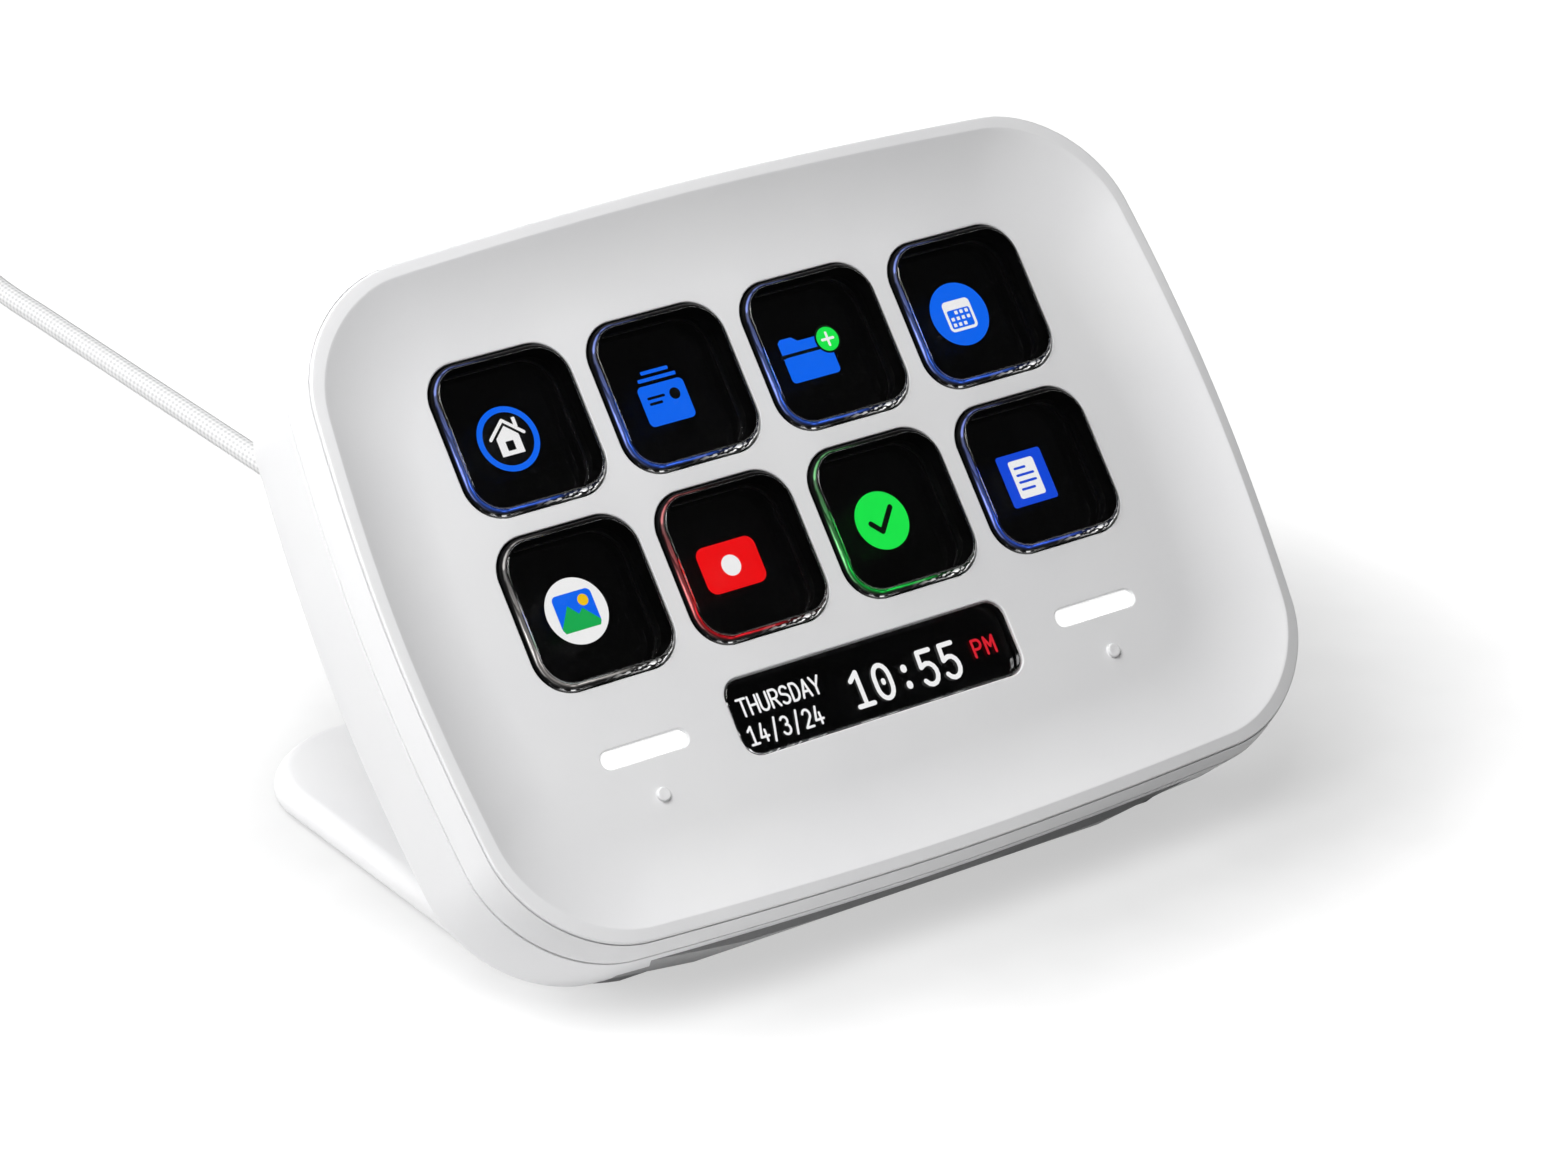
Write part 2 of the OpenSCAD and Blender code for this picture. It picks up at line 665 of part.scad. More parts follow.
// Points of a smooth curve through the route
function spline(p0, p1, p2, p3, t) =
    0.5 * (2 * p1 + (p2 - p0) * t + (2 * p0 - 5 * p1 + 4 * p2 - p3) * t * t
        + (3 * p1 - p0 - 3 * p2 + p3) * t * t * t);

function route_curve(route, steps) =
    [for (i = [0:len(route) - 2]) for (j = [0:steps - 1])
        spline(route[max(i - 1, 0)], route[i], route[i + 1], route[min(i + 2, len(route) - 1)], j / steps),
     route[len(route) - 1]];

// Eight-sided ring square to the path at one of its points
function tube_ring(path, i, r) =
    let (run = path[min(i + 1, len(path) - 1)] - path[max(i - 1, 0)],
        ahead = run / norm(run),
        side = cross([0, 0, 1], ahead) / norm(cross([0, 0, 1], ahead)),
        up = cross(ahead, side))
    [for (k = [0:7]) path[i] + r * (side * cos(45 * k + 22.5) + up * sin(45 * k + 22.5))];

module tube(route, d, steps) {
    path = route_curve(route, steps);
    loft([for (i = [0:len(path) - 1]) tube_ring(path, i, d / 2)]);
}

module cable() color("white") {
    tube(cable_route, cable_d, 2);
    tube(tail_route, cable_d, 2);
}

// Coil of the rest of the cable: one flat layer of turns winds in, and one on top of it winds out
coil_outer_r = 26.5;
coil_inner_r = 9.25;
coil_centre = [-21.5, 210];

module cable_coil() color("white") translate([coil_centre.x, coil_centre.y, 0])
    rotate_extrude()
        translate([coil_inner_r - cable_d / 2, 0]) square([coil_outer_r - coil_inner_r + cable_d, 2 * cable_d]);

// Plug lying on the desk beside the coil
plug_start = [-48, 188, 2.8];

module plug_at() translate(plug_start) rotate([90, 0, 0]) children();

module plug_boot() color("white") plug_at() rotate_extrude()
    polygon([[0, 0], [cable_d / 2 + 0.3, 0], [2.6, 7], [2.6, 9], [0, 9]]);

module plug_body() color("white") plug_at() translate([0, 0, 9]) {
    linear_extrude(19) {
        square([10.8 - 5.6, 5.6], center = true);
        for (side = [-1, 1]) translate([side * 2.6, 0]) circle(2.8);
    }
}

module plug_shell() color("silver") plug_at() translate([0, 0, 28]) difference() {
    linear_extrude(6.6) {
        square([5.8, 2.5], center = true);
        for (side = [-1, 1]) translate([side * 2.9, 0]) circle(1.25);
    }
    translate([0, 0, 1]) linear_extrude(6.6) difference() {
        union() {
            square([5.6, 1.9], center = true);
            for (side = [-1, 1]) translate([side * 2.8, 0]) circle(0.95);
        }
        square([4.6, 0.5], center = true);
    }
}

// ---- Nodes --------------------------------------------------------------

face_plate();
rear_housing();
stand_spine();
foot_plate();
foot_sole();
key_cap(1);  // key_1
key_cap(2);  // key_2
key_cap(3);  // key_3
key_cap(4);  // key_4
key_cap(5);  // key_5
key_cap(6);  // key_6
key_cap(7);  // key_7
key_cap(8);  // key_8
key_mat();
contact_film();
lcd_panel();
lcd_carrier();
info_lens();
info_display();
light_guide(-1);  // light_guide_left
light_guide(1);  // light_guide_right
touch_pads();
touch_springs();
touch_board();
status_leds();
main_board();
board_chips();
display_ribbon();
touch_ribbon();
lead_connector();
inner_lead();
case_screws();
board_screws();
carrier_screws();
touch_board_screws();
spine_screws();
foot_screws();
cable_gland();
cable();
cable_coil();
plug_boot();
plug_body();
plug_shell();
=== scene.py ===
import math

import bmesh
import bpy
from mathutils import Matrix, Vector


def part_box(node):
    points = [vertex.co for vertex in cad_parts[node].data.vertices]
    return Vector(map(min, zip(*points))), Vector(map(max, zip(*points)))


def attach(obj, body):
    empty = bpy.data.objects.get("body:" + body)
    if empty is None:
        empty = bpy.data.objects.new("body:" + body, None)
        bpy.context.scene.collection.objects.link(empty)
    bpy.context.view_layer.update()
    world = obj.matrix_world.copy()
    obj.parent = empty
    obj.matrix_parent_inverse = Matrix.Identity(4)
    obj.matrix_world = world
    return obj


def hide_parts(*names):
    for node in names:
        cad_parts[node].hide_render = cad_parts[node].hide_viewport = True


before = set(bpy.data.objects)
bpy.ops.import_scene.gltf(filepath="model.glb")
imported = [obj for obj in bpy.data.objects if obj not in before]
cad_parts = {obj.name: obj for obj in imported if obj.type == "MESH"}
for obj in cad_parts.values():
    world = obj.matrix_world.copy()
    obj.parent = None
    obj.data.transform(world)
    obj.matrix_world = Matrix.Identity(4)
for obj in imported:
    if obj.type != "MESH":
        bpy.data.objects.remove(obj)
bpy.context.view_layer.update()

MM = 0.001
scene = bpy.context.scene

for start_up_object in ("Cube", "Light", "Camera"):
    if start_up_object in bpy.data.objects:
        bpy.data.objects.remove(bpy.data.objects[start_up_object])


# ---- Camera

def place_camera():
    lens = bpy.data.cameras.new("desk_camera")
    lens.lens = 126.2
    lens.sensor_width = 36.0
    lens.clip_start = 0.01
    lens.clip_end = 20.0
    camera = bpy.data.objects.new("desk_camera", lens)
    scene.collection.objects.link(camera)
    right = Vector((0.819306, -0.573354, -0.001893))
    up = Vector((0.245412, 0.347700, 0.904920))
    turn = Matrix((right, up, right.cross(up))).transposed()
    camera.matrix_world = Matrix.Translation(Vector((-298.31, -431.2, 272.6)) * MM) @ turn.to_4x4()
    scene.camera = camera


# ---- Cable

CABLE_D = 3.0
GLAND_Z = 7.6
GLAND_START_Y = 16.8
ON_DESK_Z = CABLE_D / 2
CABLE_ROUTE = [(0, 31, GLAND_Z), (0, 32.5, GLAND_Z), (0, 34, GLAND_Z), (0, 38, 7.0), (0, 42, 5.5), (0, 46, 3.7)]
CABLE_ROUTE += [(0, 50, 2.3)] + [(0, y, ON_DESK_Z) for y in (55, *range(66, 175, 12))]
CABLE_ROUTE += [(x, y, ON_DESK_Z) for x, y in ((1, 184), (3.5, 194), (5, 203), (5, 210))]
PLUG_START = (-48, 188, 2.8)
TAIL_ROUTE = [(-48, y, z) for y, z in ((210, 4.5), (205, 4.4), (200, 3.9), (195, 3.1), (191, 2.8), (189.5, 2.8))]
TAIL_ROUTE += [PLUG_START]
COIL_MIDDLE = (-21.5, 210)
COIL_OUTER_R = 26.5
COIL_INNER_R = 9.25


def through(route, steps):
    """Points of a smooth curve through the route."""
    points = []
    last = len(route) - 1
    for i in range(last):
        p0, p1, p2, p3 = (Vector(route[k]) for k in (max(i - 1, 0), i, i + 1, min(i + 2, last)))
        for j in range(steps):
            t = j / steps
            points.append(0.5 * (2 * p1 + (p2 - p0) * t + (2 * p0 - 5 * p1 + 4 * p2 - p3) * t * t
                                 + (3 * p1 - p0 - 3 * p2 + p3) * t ** 3))
    points.append(Vector(route[last]))
    return points


def coil_turns(steps_per_turn):
    """One flat layer winds in on the desk, climbs at the middle and winds out on top of it."""
    turns = (COIL_OUTER_R - COIL_INNER_R) / CABLE_D
    climb = 0.3
    points = []
    for i in range(1, round(2 * turns * steps_per_turn)):
        turn = i / steps_per_turn
        r = COIL_INNER_R + CABLE_D * abs(turn - turns)
        lift = min(max((turn - turns) / climb + 0.5, 0.0), 1.0)
        z = ON_DESK_Z + CABLE_D * lift * lift * (3 - 2 * lift)
        angle = 2 * math.pi * turn
        points.append(Vector((COIL_MIDDLE[0] + r * math.cos(angle), COIL_MIDDLE[1] + r * math.sin(angle), z)))
    return points


def cable_path():
    return through(CABLE_ROUTE, 6) + coil_turns(64) + through(TAIL_ROUTE, 6)


# ---- Places on the leaning face

LEAN = math.radians(40)
RIGHT = Vector((1, 0, 0))
UPWARD = Vector((0, math.sin(LEAN), math.cos(LEAN)))
OUT = Vector((0, -math.cos(LEAN), math.sin(LEAN)))
REARWARD = Vector((0, 1, 0))
UP = Vector((0, 0, 1))
LCD_TOP = -4.0
LCD_MIDDLE_DEPTH = 4.8
lcd_low, lcd_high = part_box("lcd_panel")
FACE_MIDDLE = (lcd_low + lcd_high) / 2 + OUT * LCD_MIDDLE_DEPTH * MM

KEY_PITCH = 19.2
KEY_PLACES = [((col - 1.5) * KEY_PITCH, (0.5 - row) * KEY_PITCH) for row in range(2) for col in range(4)]
KEY_OPEN = 17.1
KEY_OPEN_CORNER = 4.1
KEY_GAP = 0.19
KEY_CORNER = 3.9
KEY_PROUD = 0.85
KEY_FLANGE_W = 18.2
KEY_FLANGE_CORNER = 4.4
STRIP_Y = -25.7
STRIP_W = 35.8
STRIP_H = 8.5
LENS_BACK_Z = -2.2
SLOT_X = 28.8
SLOT_L = 10.5
SLOT_H = 2.0
DOT_Y = -30.7
CASE_SPOTS = [(-43, 20), (43, 20), (-43, -34), (43, -34)]
BOARD_SPOTS = [(-34, 19), (34, 19), (-34, -19), (34, -19)]
CARRIER_SPOTS = [(-42.6, 10), (42.6, 10), (-42.6, -10), (42.6, -10)]
TOUCH_BOARD_SPOTS = [(-20.7, STRIP_Y), (20.7, STRIP_Y)]
SPINE_SPOTS = [(-9, -14), (9, -14)]
LOW_POINT_Y = -25.17
FOOT_SPOTS = [(-27, LOW_POINT_Y + 1.8), (27, LOW_POINT_Y + 1.8), (-9, 8), (9, 8)]
# Head width, head height, shank width and length of each screw, and the width of its cross recess
CASE_SCREW = (3.8, 1.3, 1.7, 10.5, 0.42)
FOOT_SCREW = (4.2, 0.95, 2.0, 6.5, 0.42)
# Widths of the posts, of the screw holes in them, of the holes that screws pass and of those for their heads
POST = {"case": 5, "rear": 5.4, "board": 4.4, "carrier": 3.4, "touch": 2.9}
PILOT = {"case": 1.7, "board": 1.6, "carrier": 1.3, "touch": 1.1, "foot": 2.0}
CLEAR = {"case": 2.2, "spine": 2.4, "foot": 2.7}
SUNK = {"case": 4.0, "foot": 4.6}


def on_face(x, y, z=0.0):
    return FACE_MIDDLE + (RIGHT * x + UPWARD * y + OUT * z) * MM


def on_desk(x, y, z=0.0):
    return Vector((x, y, z)) * MM


# ---- Outlines

BODY_W = 107.2
BODY_L = 77.6
CORNER_R = 12.6
SIDE_BOW = 3.0
END_BOW = 1.9
GRID_RISE = 7.9
PARTING_Z = -1.6
BACK_Z = -14.1
WALL = 2.0
RIM_H = 2.9
RIM_W = 1.4
BAND_TAPER = 0.78
DISH_W = 9.6
RIM_DROOP = 0.25
EDGE_ROUND = 3.0
DRAFT = 0.28
SPINE_W = 34
SPINE_TOP = 33
SPINE_END_H = 15
SPINE_REAR = 20
SPINE_CORNER = 8
FOOT_W = 87.6
FOOT_R = 13
FOOT_T = 3.0
FOOT_ROUND = 2.1
FOOT_REAR = 37.5
FOOT_FRONT = LOW_POINT_Y - 1.5
SOLE_T = 0.6
SOLE_LIP = 0.8
# Half width and half length of the boxes that cut past the whole body
ASIDE = 60
BEYOND = 75


def rounded_outline(half_w, half_l, r, corner_steps, across_steps=1, along_steps=1):
    """Points of a rounded rectangle, anticlockwise from the middle right, its sides split in steps."""
    corners = ((half_w - r, half_l - r), (r - half_w, half_l - r), (r - half_w, r - half_l), (half_w - r, r - half_l))
    points = []
    for quarter, (cx, cy) in enumerate(corners):
        start = math.pi / 2 * quarter
        for i in range(corner_steps + 1):
            angle = start + math.pi / 2 * i / corner_steps
            points.append((cx + r * math.cos(angle), cy + r * math.sin(angle)))
        here = Vector(points[-1])
        nx, ny = corners[(quarter + 1) % 4]
        there = Vector((nx + r * math.cos(start + math.pi / 2), ny + r * math.sin(start + math.pi / 2)))
        steps = across_steps if quarter % 2 == 0 else along_steps
        points += [tuple(here + (there - here) * i / steps) for i in range(1, steps)]
    return points


def side_of(distance):
    """-1 on one side, 1 on the other, and an even change across the middle."""
    return math.sin(math.pi / 2 * min(max(distance / 20, -1), 1))


def body_ring(grow, z, droop=0.0):
    """The body's bowed outline at one level, grown or shrunk; the droop lowers it in front and on the right."""
    half_w = BODY_W / 2 + grow
    half_l = BODY_L / 2 + grow
    ring = []
    for x, y in rounded_outline(half_w, half_l, CORNER_R + grow / 2, 24, 60, 44):
        bowed_x = x - SIDE_BOW * (y / half_l) ** 2 * side_of(x)
        bowed_y = y - END_BOW * (x / half_w) ** 2 * side_of(y)
        low = min(max(0.5 * x / half_w - y / half_l, 0), 1)
        ring.append(on_face(bowed_x, bowed_y - GRID_RISE, z - droop * low))
    return ring


def face_outline(place, w, h, r, z, corner_steps=12):
    return [on_face(place[0] + x, place[1] + y, z) for x, y in rounded_outline(w / 2, h / 2, r, corner_steps)]


def rounding(r, steps):
    """A rounded edge as (inward, down) pairs, from its upright side to its flat."""
    turns = [math.pi / 2 * i / steps for i in range(steps + 1)]
    return [(r * (1 - math.cos(t)), r * (1 - math.sin(t))) for t in turns]


def circle(steps):
    """Points round a circle of radius 1."""
    return [(math.cos(2 * math.pi * i / steps), math.sin(2 * math.pi * i / steps)) for i in range(steps)]


# ---- Making and cutting solids

def closed_skin(bm, rings):
    """A solid through stacked rings of equal length, closed by its first and last ring."""
    rows = [[bm.verts.new(p) for p in ring] for ring in rings]
    for lower, upper in zip(rows, rows[1:]):
        for i in range(len(lower)):
            k = (i + 1) % len(lower)
            bm.faces.new((lower[i], lower[k], upper[k], upper[i]))
    bm.faces.new(rows[0][::-1])
    bm.faces.new(rows[-1])
    return rows


def solid(*stacks):
    bm = bmesh.new()
    for rings in stacks:
        closed_skin(bm, rings)
    return bm


def turned(profile, at, along, side, steps=48):
    """Rings of a turned piece, from its outline as (radius, distance) pairs."""
    across = along.cross(side)
    return [[at + (along * d + (side * x + across * y) * r) * MM for x, y in circle(steps)] for r, d in profile]


def face_pins(spots, d, z0, z1, steps=32):
    """Round pins at the spots, square to the face."""
    return [turned([(d / 2, z0), (d / 2, z1)], on_face(*spot), OUT, RIGHT, steps) for spot in spots]


def desk_pins(spots, d, z0, z1):
    """Upright round pins at the spots."""
    return [turned([(d / 2, z0), (d / 2, z1)], on_desk(*spot), UP, RIGHT, 32) for spot in spots]


def desk_box(half_w, y0, y1, z0, z1):
    corners = ((-half_w, y0), (half_w, y0), (half_w, y1), (-half_w, y1))
    return [[on_desk(x, y, z) for x, y in corners] for z in (z0, z1)]


def new_piece(bm, name):
    mesh = bpy.data.meshes.new(name)
    bm.to_mesh(mesh)
    bm.free()
    piece = bpy.data.objects.new(name, mesh)
    scene.collection.objects.link(piece)
    return piece


def baked(piece):
    """Carries out the piece's modifiers in its mesh."""
    bpy.context.view_layer.update()
    graph = bpy.context.evaluated_depsgraph_get()
    mesh = bpy.data.meshes.new_from_object(piece.evaluated_get(graph), depsgraph=graph)
    piece.modifiers.clear()
    plain = piece.data
    piece.data = mesh
    mesh.name = piece.name
    bpy.data.meshes.remove(plain)
    return piece


def shaped(piece, how, *stacks, by=None):
    """Cuts, joins or keeps: piece DIFFERENCE, UNION or INTERSECT the stacks of rings, or a piece that is used up."""
    tool = by or new_piece(solid(*stacks), "tool")
    step = piece.modifiers.new("shaped", "BOOLEAN")
    step.operation = how
    step.solver = "MANIFOLD"
    step.object = tool
    baked(piece)
    bpy.data.objects.remove(tool)


def smoothed(piece, crease=28):
    """Smooth faces with crisp creases, shaded evenly next to the large flats."""
    bm = bmesh.new()
    bm.from_mesh(piece.data)
    bmesh.ops.remove_doubles(bm, verts=bm.verts, dist=2e-7)
    for face in bm.faces:
        face.smooth = True
    for edge in bm.edges:
        edge.smooth = len(edge.link_faces) != 2 or edge.calc_face_angle(0.0) < math.radians(crease)
    bm.to_mesh(piece.data)
    bm.free()
    even = piece.modifiers.new("even_shading", "WEIGHTED_NORMAL")
    even.keep_sharp = True


def fitted(piece, slot, finish, *nodes, body="case", coat=None, smooth=True):
    """Gives a finished piece its shading, its finish and its body, and hides the nodes that it stands for."""
    if smooth:
        smoothed(piece)
    # Cutting leaves an empty slot; an uncut mesh is left alone, so its coated faces keep their number
    if piece.data.materials:
        piece.data.materials.clear()
    piece.data.materials.append(finish)
    if coat:
        piece.data.materials.append(coat)
    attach(piece, body)
    if nodes:
        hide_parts(*nodes)
    return piece


# ---- Finishes

def add_node(tree, kind, inputs=None, **settings):
    """Adds a node with its settings; each input takes a value or another node's output."""
    made = tree.nodes.new(kind)
    for name, value in settings.items():
        setattr(made, name, value)
    for name, value in (inputs or {}).items():
        if isinstance(value, bpy.types.NodeSocket):
            tree.links.new(value, made.inputs[name])
        else:
            made.inputs[name].default_value = value
    return made


def add_math(tree, operation, *terms):
    return add_node(tree, "ShaderNodeMath", dict(enumerate(terms)), operation=operation).outputs[0]


def add_range(tree, value, start, end, low, high, way="LINEAR"):
    """Runs from low to high while the value goes from start to end."""
    ends = {"From Min": start, "From Max": end, "To Min": low, "To Max": high}
    return add_node(tree, "ShaderNodeMapRange", {"Value": value, **ends}, interpolation_type=way).outputs["Result"]


class Finish:
    """A material being built up from nodes round one shader."""

    def __init__(self, name, **values):
        self.material = bpy.data.materials.new(name)
        self.material.use_nodes = True
        self.tree = self.material.node_tree
        self.tree.nodes.clear()
        self.shader = self.node("BsdfPrincipled", {key.replace("_", " "): value for key, value in values.items()})
        self.output = self.node("OutputMaterial", {"Surface": self.shader.outputs["BSDF"]})
        self.places = self.node("TexCoord").outputs

    def node(self, kind, inputs=None, **settings):
        return add_node(self.tree, "ShaderNode" + kind, inputs, **settings)

    def feed(self, source, socket):
        self.tree.links.new(source, self.shader.inputs[socket])

    def math(self, operation, *terms):
        return add_math(self.tree, operation, *terms)

    def blend(self, first, its_share, second, other_share):
        return self.math("ADD", self.math("MULTIPLY", first, its_share), self.math("MULTIPLY", second, other_share))

    def painted(self, layer):
        """The colour that the piece itself carries in the layer."""
        return self.node("VertexColor", layer_name=layer).outputs["Color"]

    def noise(self, scale, detail=2.0, rough=0.5, at=None):
        inputs = {"Vector": at or self.places["Object"], "Scale": scale, "Detail": detail, "Roughness": rough}
        return self.node("TexNoise", inputs).outputs[0]

    def bricks(self, at, greys, gap, soft, width, height):
        """Bricks in the first two greys, with the third between them."""
        sizes = {"Scale": 1.0, "Mortar Size": gap, "Mortar Smooth": soft, "Brick Width": width, "Row Height": height}
        colours = {name: (grey, grey, grey, 1) for name, grey in zip(("Color1", "Color2", "Mortar"), greys)}
        return self.node("TexBrick", {"Vector": at, **sizes, **colours})

    def tone(self, factor, dark, light, socket="Base Color", start=0.3, end=0.7):
        """Runs a colour from dark to light with the factor."""
        ramp = self.node("ValToRGB", {0: factor})
        for stop, position, colour in zip(ramp.color_ramp.elements, (start, end), (dark, light)):
            stop.position = position
            stop.color = (*colour, 1)
        self.feed(ramp.outputs["Color"], socket)

    def vary_roughness(self, factor, low, high):
        self.feed(add_range(self.tree, factor, 0.0, 1.0, low, high), "Roughness")

    def bump(self, height, depth_mm, strength=1.0):
        made = self.node("Bump", {"Height": height, "Distance": depth_mm * MM, "Strength": strength})
        self.feed(made.outputs["Normal"], "Normal")


def moulded(name, dark, light, grain_mm, depth_mm, rough, specular=0.5):
    """Moulded plastic or rubber: a spark-eroded grain, faint flow marks and an uneven sheen."""
    finish = Finish(name, Specular_IOR_Level=specular)
    grain = finish.noise(1 / (grain_mm * MM), 3.0, 0.6)
    flow = finish.noise(55)
    finish.tone(flow, dark, light)
    finish.vary_roughness(finish.blend(grain, 0.6, flow, 0.4), *rough)
    finish.bump(grain, depth_mm)
    return finish.material


def metal(name, dark, light, grain_mm, rough):
    """Plated or drawn metal with fine marks from its making."""
    finish = Finish(name, Metallic=1.0)
    marks = finish.noise(1 / (grain_mm * MM), 4.0, 0.65)
    finish.tone(marks, dark, light)
    finish.vary_roughness(marks, *rough)
    finish.bump(marks, 0.004, 0.6)
    return finish.material


def clear_plastic(name, tint, ripple_mm, depth_mm, specular=0.5):
    """Polished clear plastic, its surface very slightly uneven from the mould."""
    finish = Finish(name, Transmission_Weight=1.0, IOR=1.49, Roughness=0.0, Specular_IOR_Level=specular)
    ripple = finish.noise(1 / (ripple_mm * MM), 1.0)
    finish.tone(ripple, tuple(0.985 * c for c in tint), tint)
    finish.bump(ripple, depth_mm, 0.4)
    return finish.material


def glowing_plastic(name, colour, strength):
    """Milky light guide, glowing evenly and softly clouded."""
    finish = Finish(name, Base_Color=(0.9, 0.9, 0.9, 1), Roughness=0.35, Emission_Strength=strength)
    cloud = finish.noise(900)
    finish.tone(cloud, tuple(0.94 * c for c in colour), colour, "Emission Color")
    finish.bump(cloud, 0.01)
    return finish.material


def key_coat_with_painted_glints(name):
    """Glossy black coat; its edge carries painted light as emission: long streaks painted in the picture's colours
    and a few painted white glints.
    """
    finish = Finish(name, Roughness=0.08, Specular_IOR_Level=0.06, Emission_Strength=1.0)
    waves = finish.noise(420, 2.0, 0.6)
    finish.tone(waves, (0.0026, 0.0026, 0.0027), (0.0042, 0.0042, 0.0044))
    finish.vary_roughness(waves, 0.05, 0.12)
    finish.bump(waves, 0.012, 0.3)

    def painted_streak_mask(scale, across, strength):
        """Mask for the painted light: bright where a noise that is stretched along the edge passes its threshold."""
        stretch = finish.node("Mapping", {"Vector": finish.places["UV"], "Scale": (scale, scale * across, 1)})
        noise = finish.noise(1.0, 2.0, 0.6, stretch.outputs["Vector"])
        return add_range(finish.tree, noise, 0.50, 0.57, 0.0, strength)

    # Painted streaks of the picture's light and painted white glints, given off as emission
    painted_streaks = finish.math("ADD", painted_streak_mask(0.35, 9.0, 0.9), 0.30)
    painted_picture_light = finish.node("VectorMath", {0: finish.painted("painted_edge_light"), "Scale": painted_streaks}, operation="SCALE")
    white = finish.math("MULTIPLY", finish.painted("painted_edge_glint"), painted_streak_mask(1.3, 2.2, 1.5))
    lit = finish.node("VectorMath", {0: painted_picture_light.outputs["Vector"], 1: white}, operation="ADD")
    finish.feed(lit.outputs["Vector"], "Emission Color")
    return finish.material


def screen_picture(name, strength):
    """Lit dots of a display, coloured by the drawing's own tint."""
    finish = Finish(name, Base_Color=(0.002, 0.002, 0.002, 1), Roughness=0.3, Emission_Strength=strength)
    dots = finish.bricks(finish.places["UV"], (1, 0.93, 0.80), 0.012, 0.4, 0.09, 0.09)
    dots.offset = 0.0
    lit = finish.node("Mix", data_type="RGBA", blend_type="MULTIPLY")
    lit.inputs["Factor"].default_value = 1.0
    finish.tree.links.new(finish.painted("tint"), lit.inputs[6])
    finish.tree.links.new(dots.outputs["Color"], lit.inputs[7])
    finish.feed(lit.outputs[2], "Emission Color")
    return finish.material


def woven_sleeve(name, carriers, pitch_mm):
    """Braided sleeve: two sets of yarns cross over and under each other round the cable, with painted shade in the
    hollows between them.
    """
    finish = Finish(name, Specular_IOR_Level=0.3, Sheen_Weight=0.25, Sheen_Roughness=0.5)
    place = finish.node("SeparateXYZ", {"Vector": finish.places["UV"]}).outputs
    round_it = finish.math("MULTIPLY", place["X"], carriers)
    along = finish.math("DIVIDE", place["Y"], pitch_mm)
    yarns = [finish.math("SINE", finish.math("MULTIPLY", finish.math(way, round_it, along), 2 * math.pi))
             for way in ("ADD", "SUBTRACT")]
    weave = finish.math("MULTIPLY", finish.math("ADD", finish.math("MULTIPLY", *yarns), 1.0), 0.5)
    fluff = finish.noise(9000, 3.0, 0.6)
    height = finish.math("ADD", weave, finish.math("MULTIPLY", fluff, 0.35))
    # The colour follows the weave's height: painted shade darkens the hollows between the yarns, and the fluff adds a
    # random tone
    finish.tone(height, (0.56, 0.56, 0.57), (0.86, 0.86, 0.86), start=0.1, end=0.9)
    finish.vary_roughness(fluff, 0.62, 0.85)
    finish.bump(height, 0.07)
    return finish.material


def board_mask(name, field, track):
    """Green solder mask with the faint relief of copper tracks under it."""
    finish = Finish(name, Specular_IOR_Level=0.5)
    turn = finish.node("Mapping", {"Vector": finish.places["Object"], "Rotation": (LEAN - math.pi / 2, 0, 0)})
    tracks = finish.bricks(turn.outputs["Vector"], (0, 0.25, 1), 0.00018, 0.2, 0.0052, 0.0013).outputs["Color"]
    finish.tone(tracks, field, track, start=0.1, end=0.9)
    finish.vary_roughness(finish.noise(700), 0.28, 0.42)
    finish.bump(tracks, 0.03)
    return finish.material


# The floor's own light, seen by camera and mirrored rays, grows from the first value to the second outside an ellipse
# round the foot; the lower value near the foot is painted shade
FLOOR_LIFT = (0.54, 0.92)
FLOOR_SHADE_ELLIPSE = {"Location": (-0.283, -0.1, 0), "Scale": (1 / 0.060, 1 / 0.050, 0)}
# Light that it sends up unseen, strongest in one place before the pad
FLOOR_GLOW = 0.36
FLOOR_GLOW_PLACE = (-0.05, -0.055, 0)
FLOOR_TONES = ((0.55, 0.55, 0.55), (0.25, 0.25, 0.25))


def floor_finish():
    """Pale floor that shows as white and keeps the soft shadow round the things on it, with painted shade near the
    foot where its own light is lower.
    """
    finish = Finish("pale_floor", Roughness=0.9, Specular_IOR_Level=0.1)
    seen = finish.node("LightPath").outputs
    mirrored = finish.math("MAXIMUM", seen["Is Glossy Ray"], seen["Is Transmission Ray"])
    shown = finish.math("MAXIMUM", seen["Is Camera Ray"], mirrored)
    unseen = finish.math("SUBTRACT", 1.0, shown)
    finish.tone(finish.blend(shown, 0.5, finish.noise(30, 3.0), 0.5), *FLOOR_TONES, start=0.15, end=0.85)
    place = finish.places["Object"]
    # Less light near the foot: painted shade round the body
    stretch = finish.node("Mapping", {"Vector": place, **FLOOR_SHADE_ELLIPSE})
    away = finish.node("VectorMath", {0: stretch.outputs["Vector"]}, operation="LENGTH").outputs["Value"]
    lift = add_range(finish.tree, away, 0.95, 1.6, *FLOOR_LIFT, "SMOOTHSTEP")
    before = finish.node("VectorMath", {0: place, 1: FLOOR_GLOW_PLACE}, operation="DISTANCE").outputs["Value"]
    glow = add_range(finish.tree, before, 0.02, 0.09, FLOOR_GLOW, 0.0, "SMOOTHSTEP")
    white = finish.node("Emission", {"Strength": finish.blend(shown, lift, unseen, glow)})
    both = finish.node("AddShader", {0: finish.shader.outputs["BSDF"], 1: white.outputs["Emission"]})
    finish.tree.links.new(both.outputs["Shader"], finish.output.inputs["Surface"])
    return finish.material


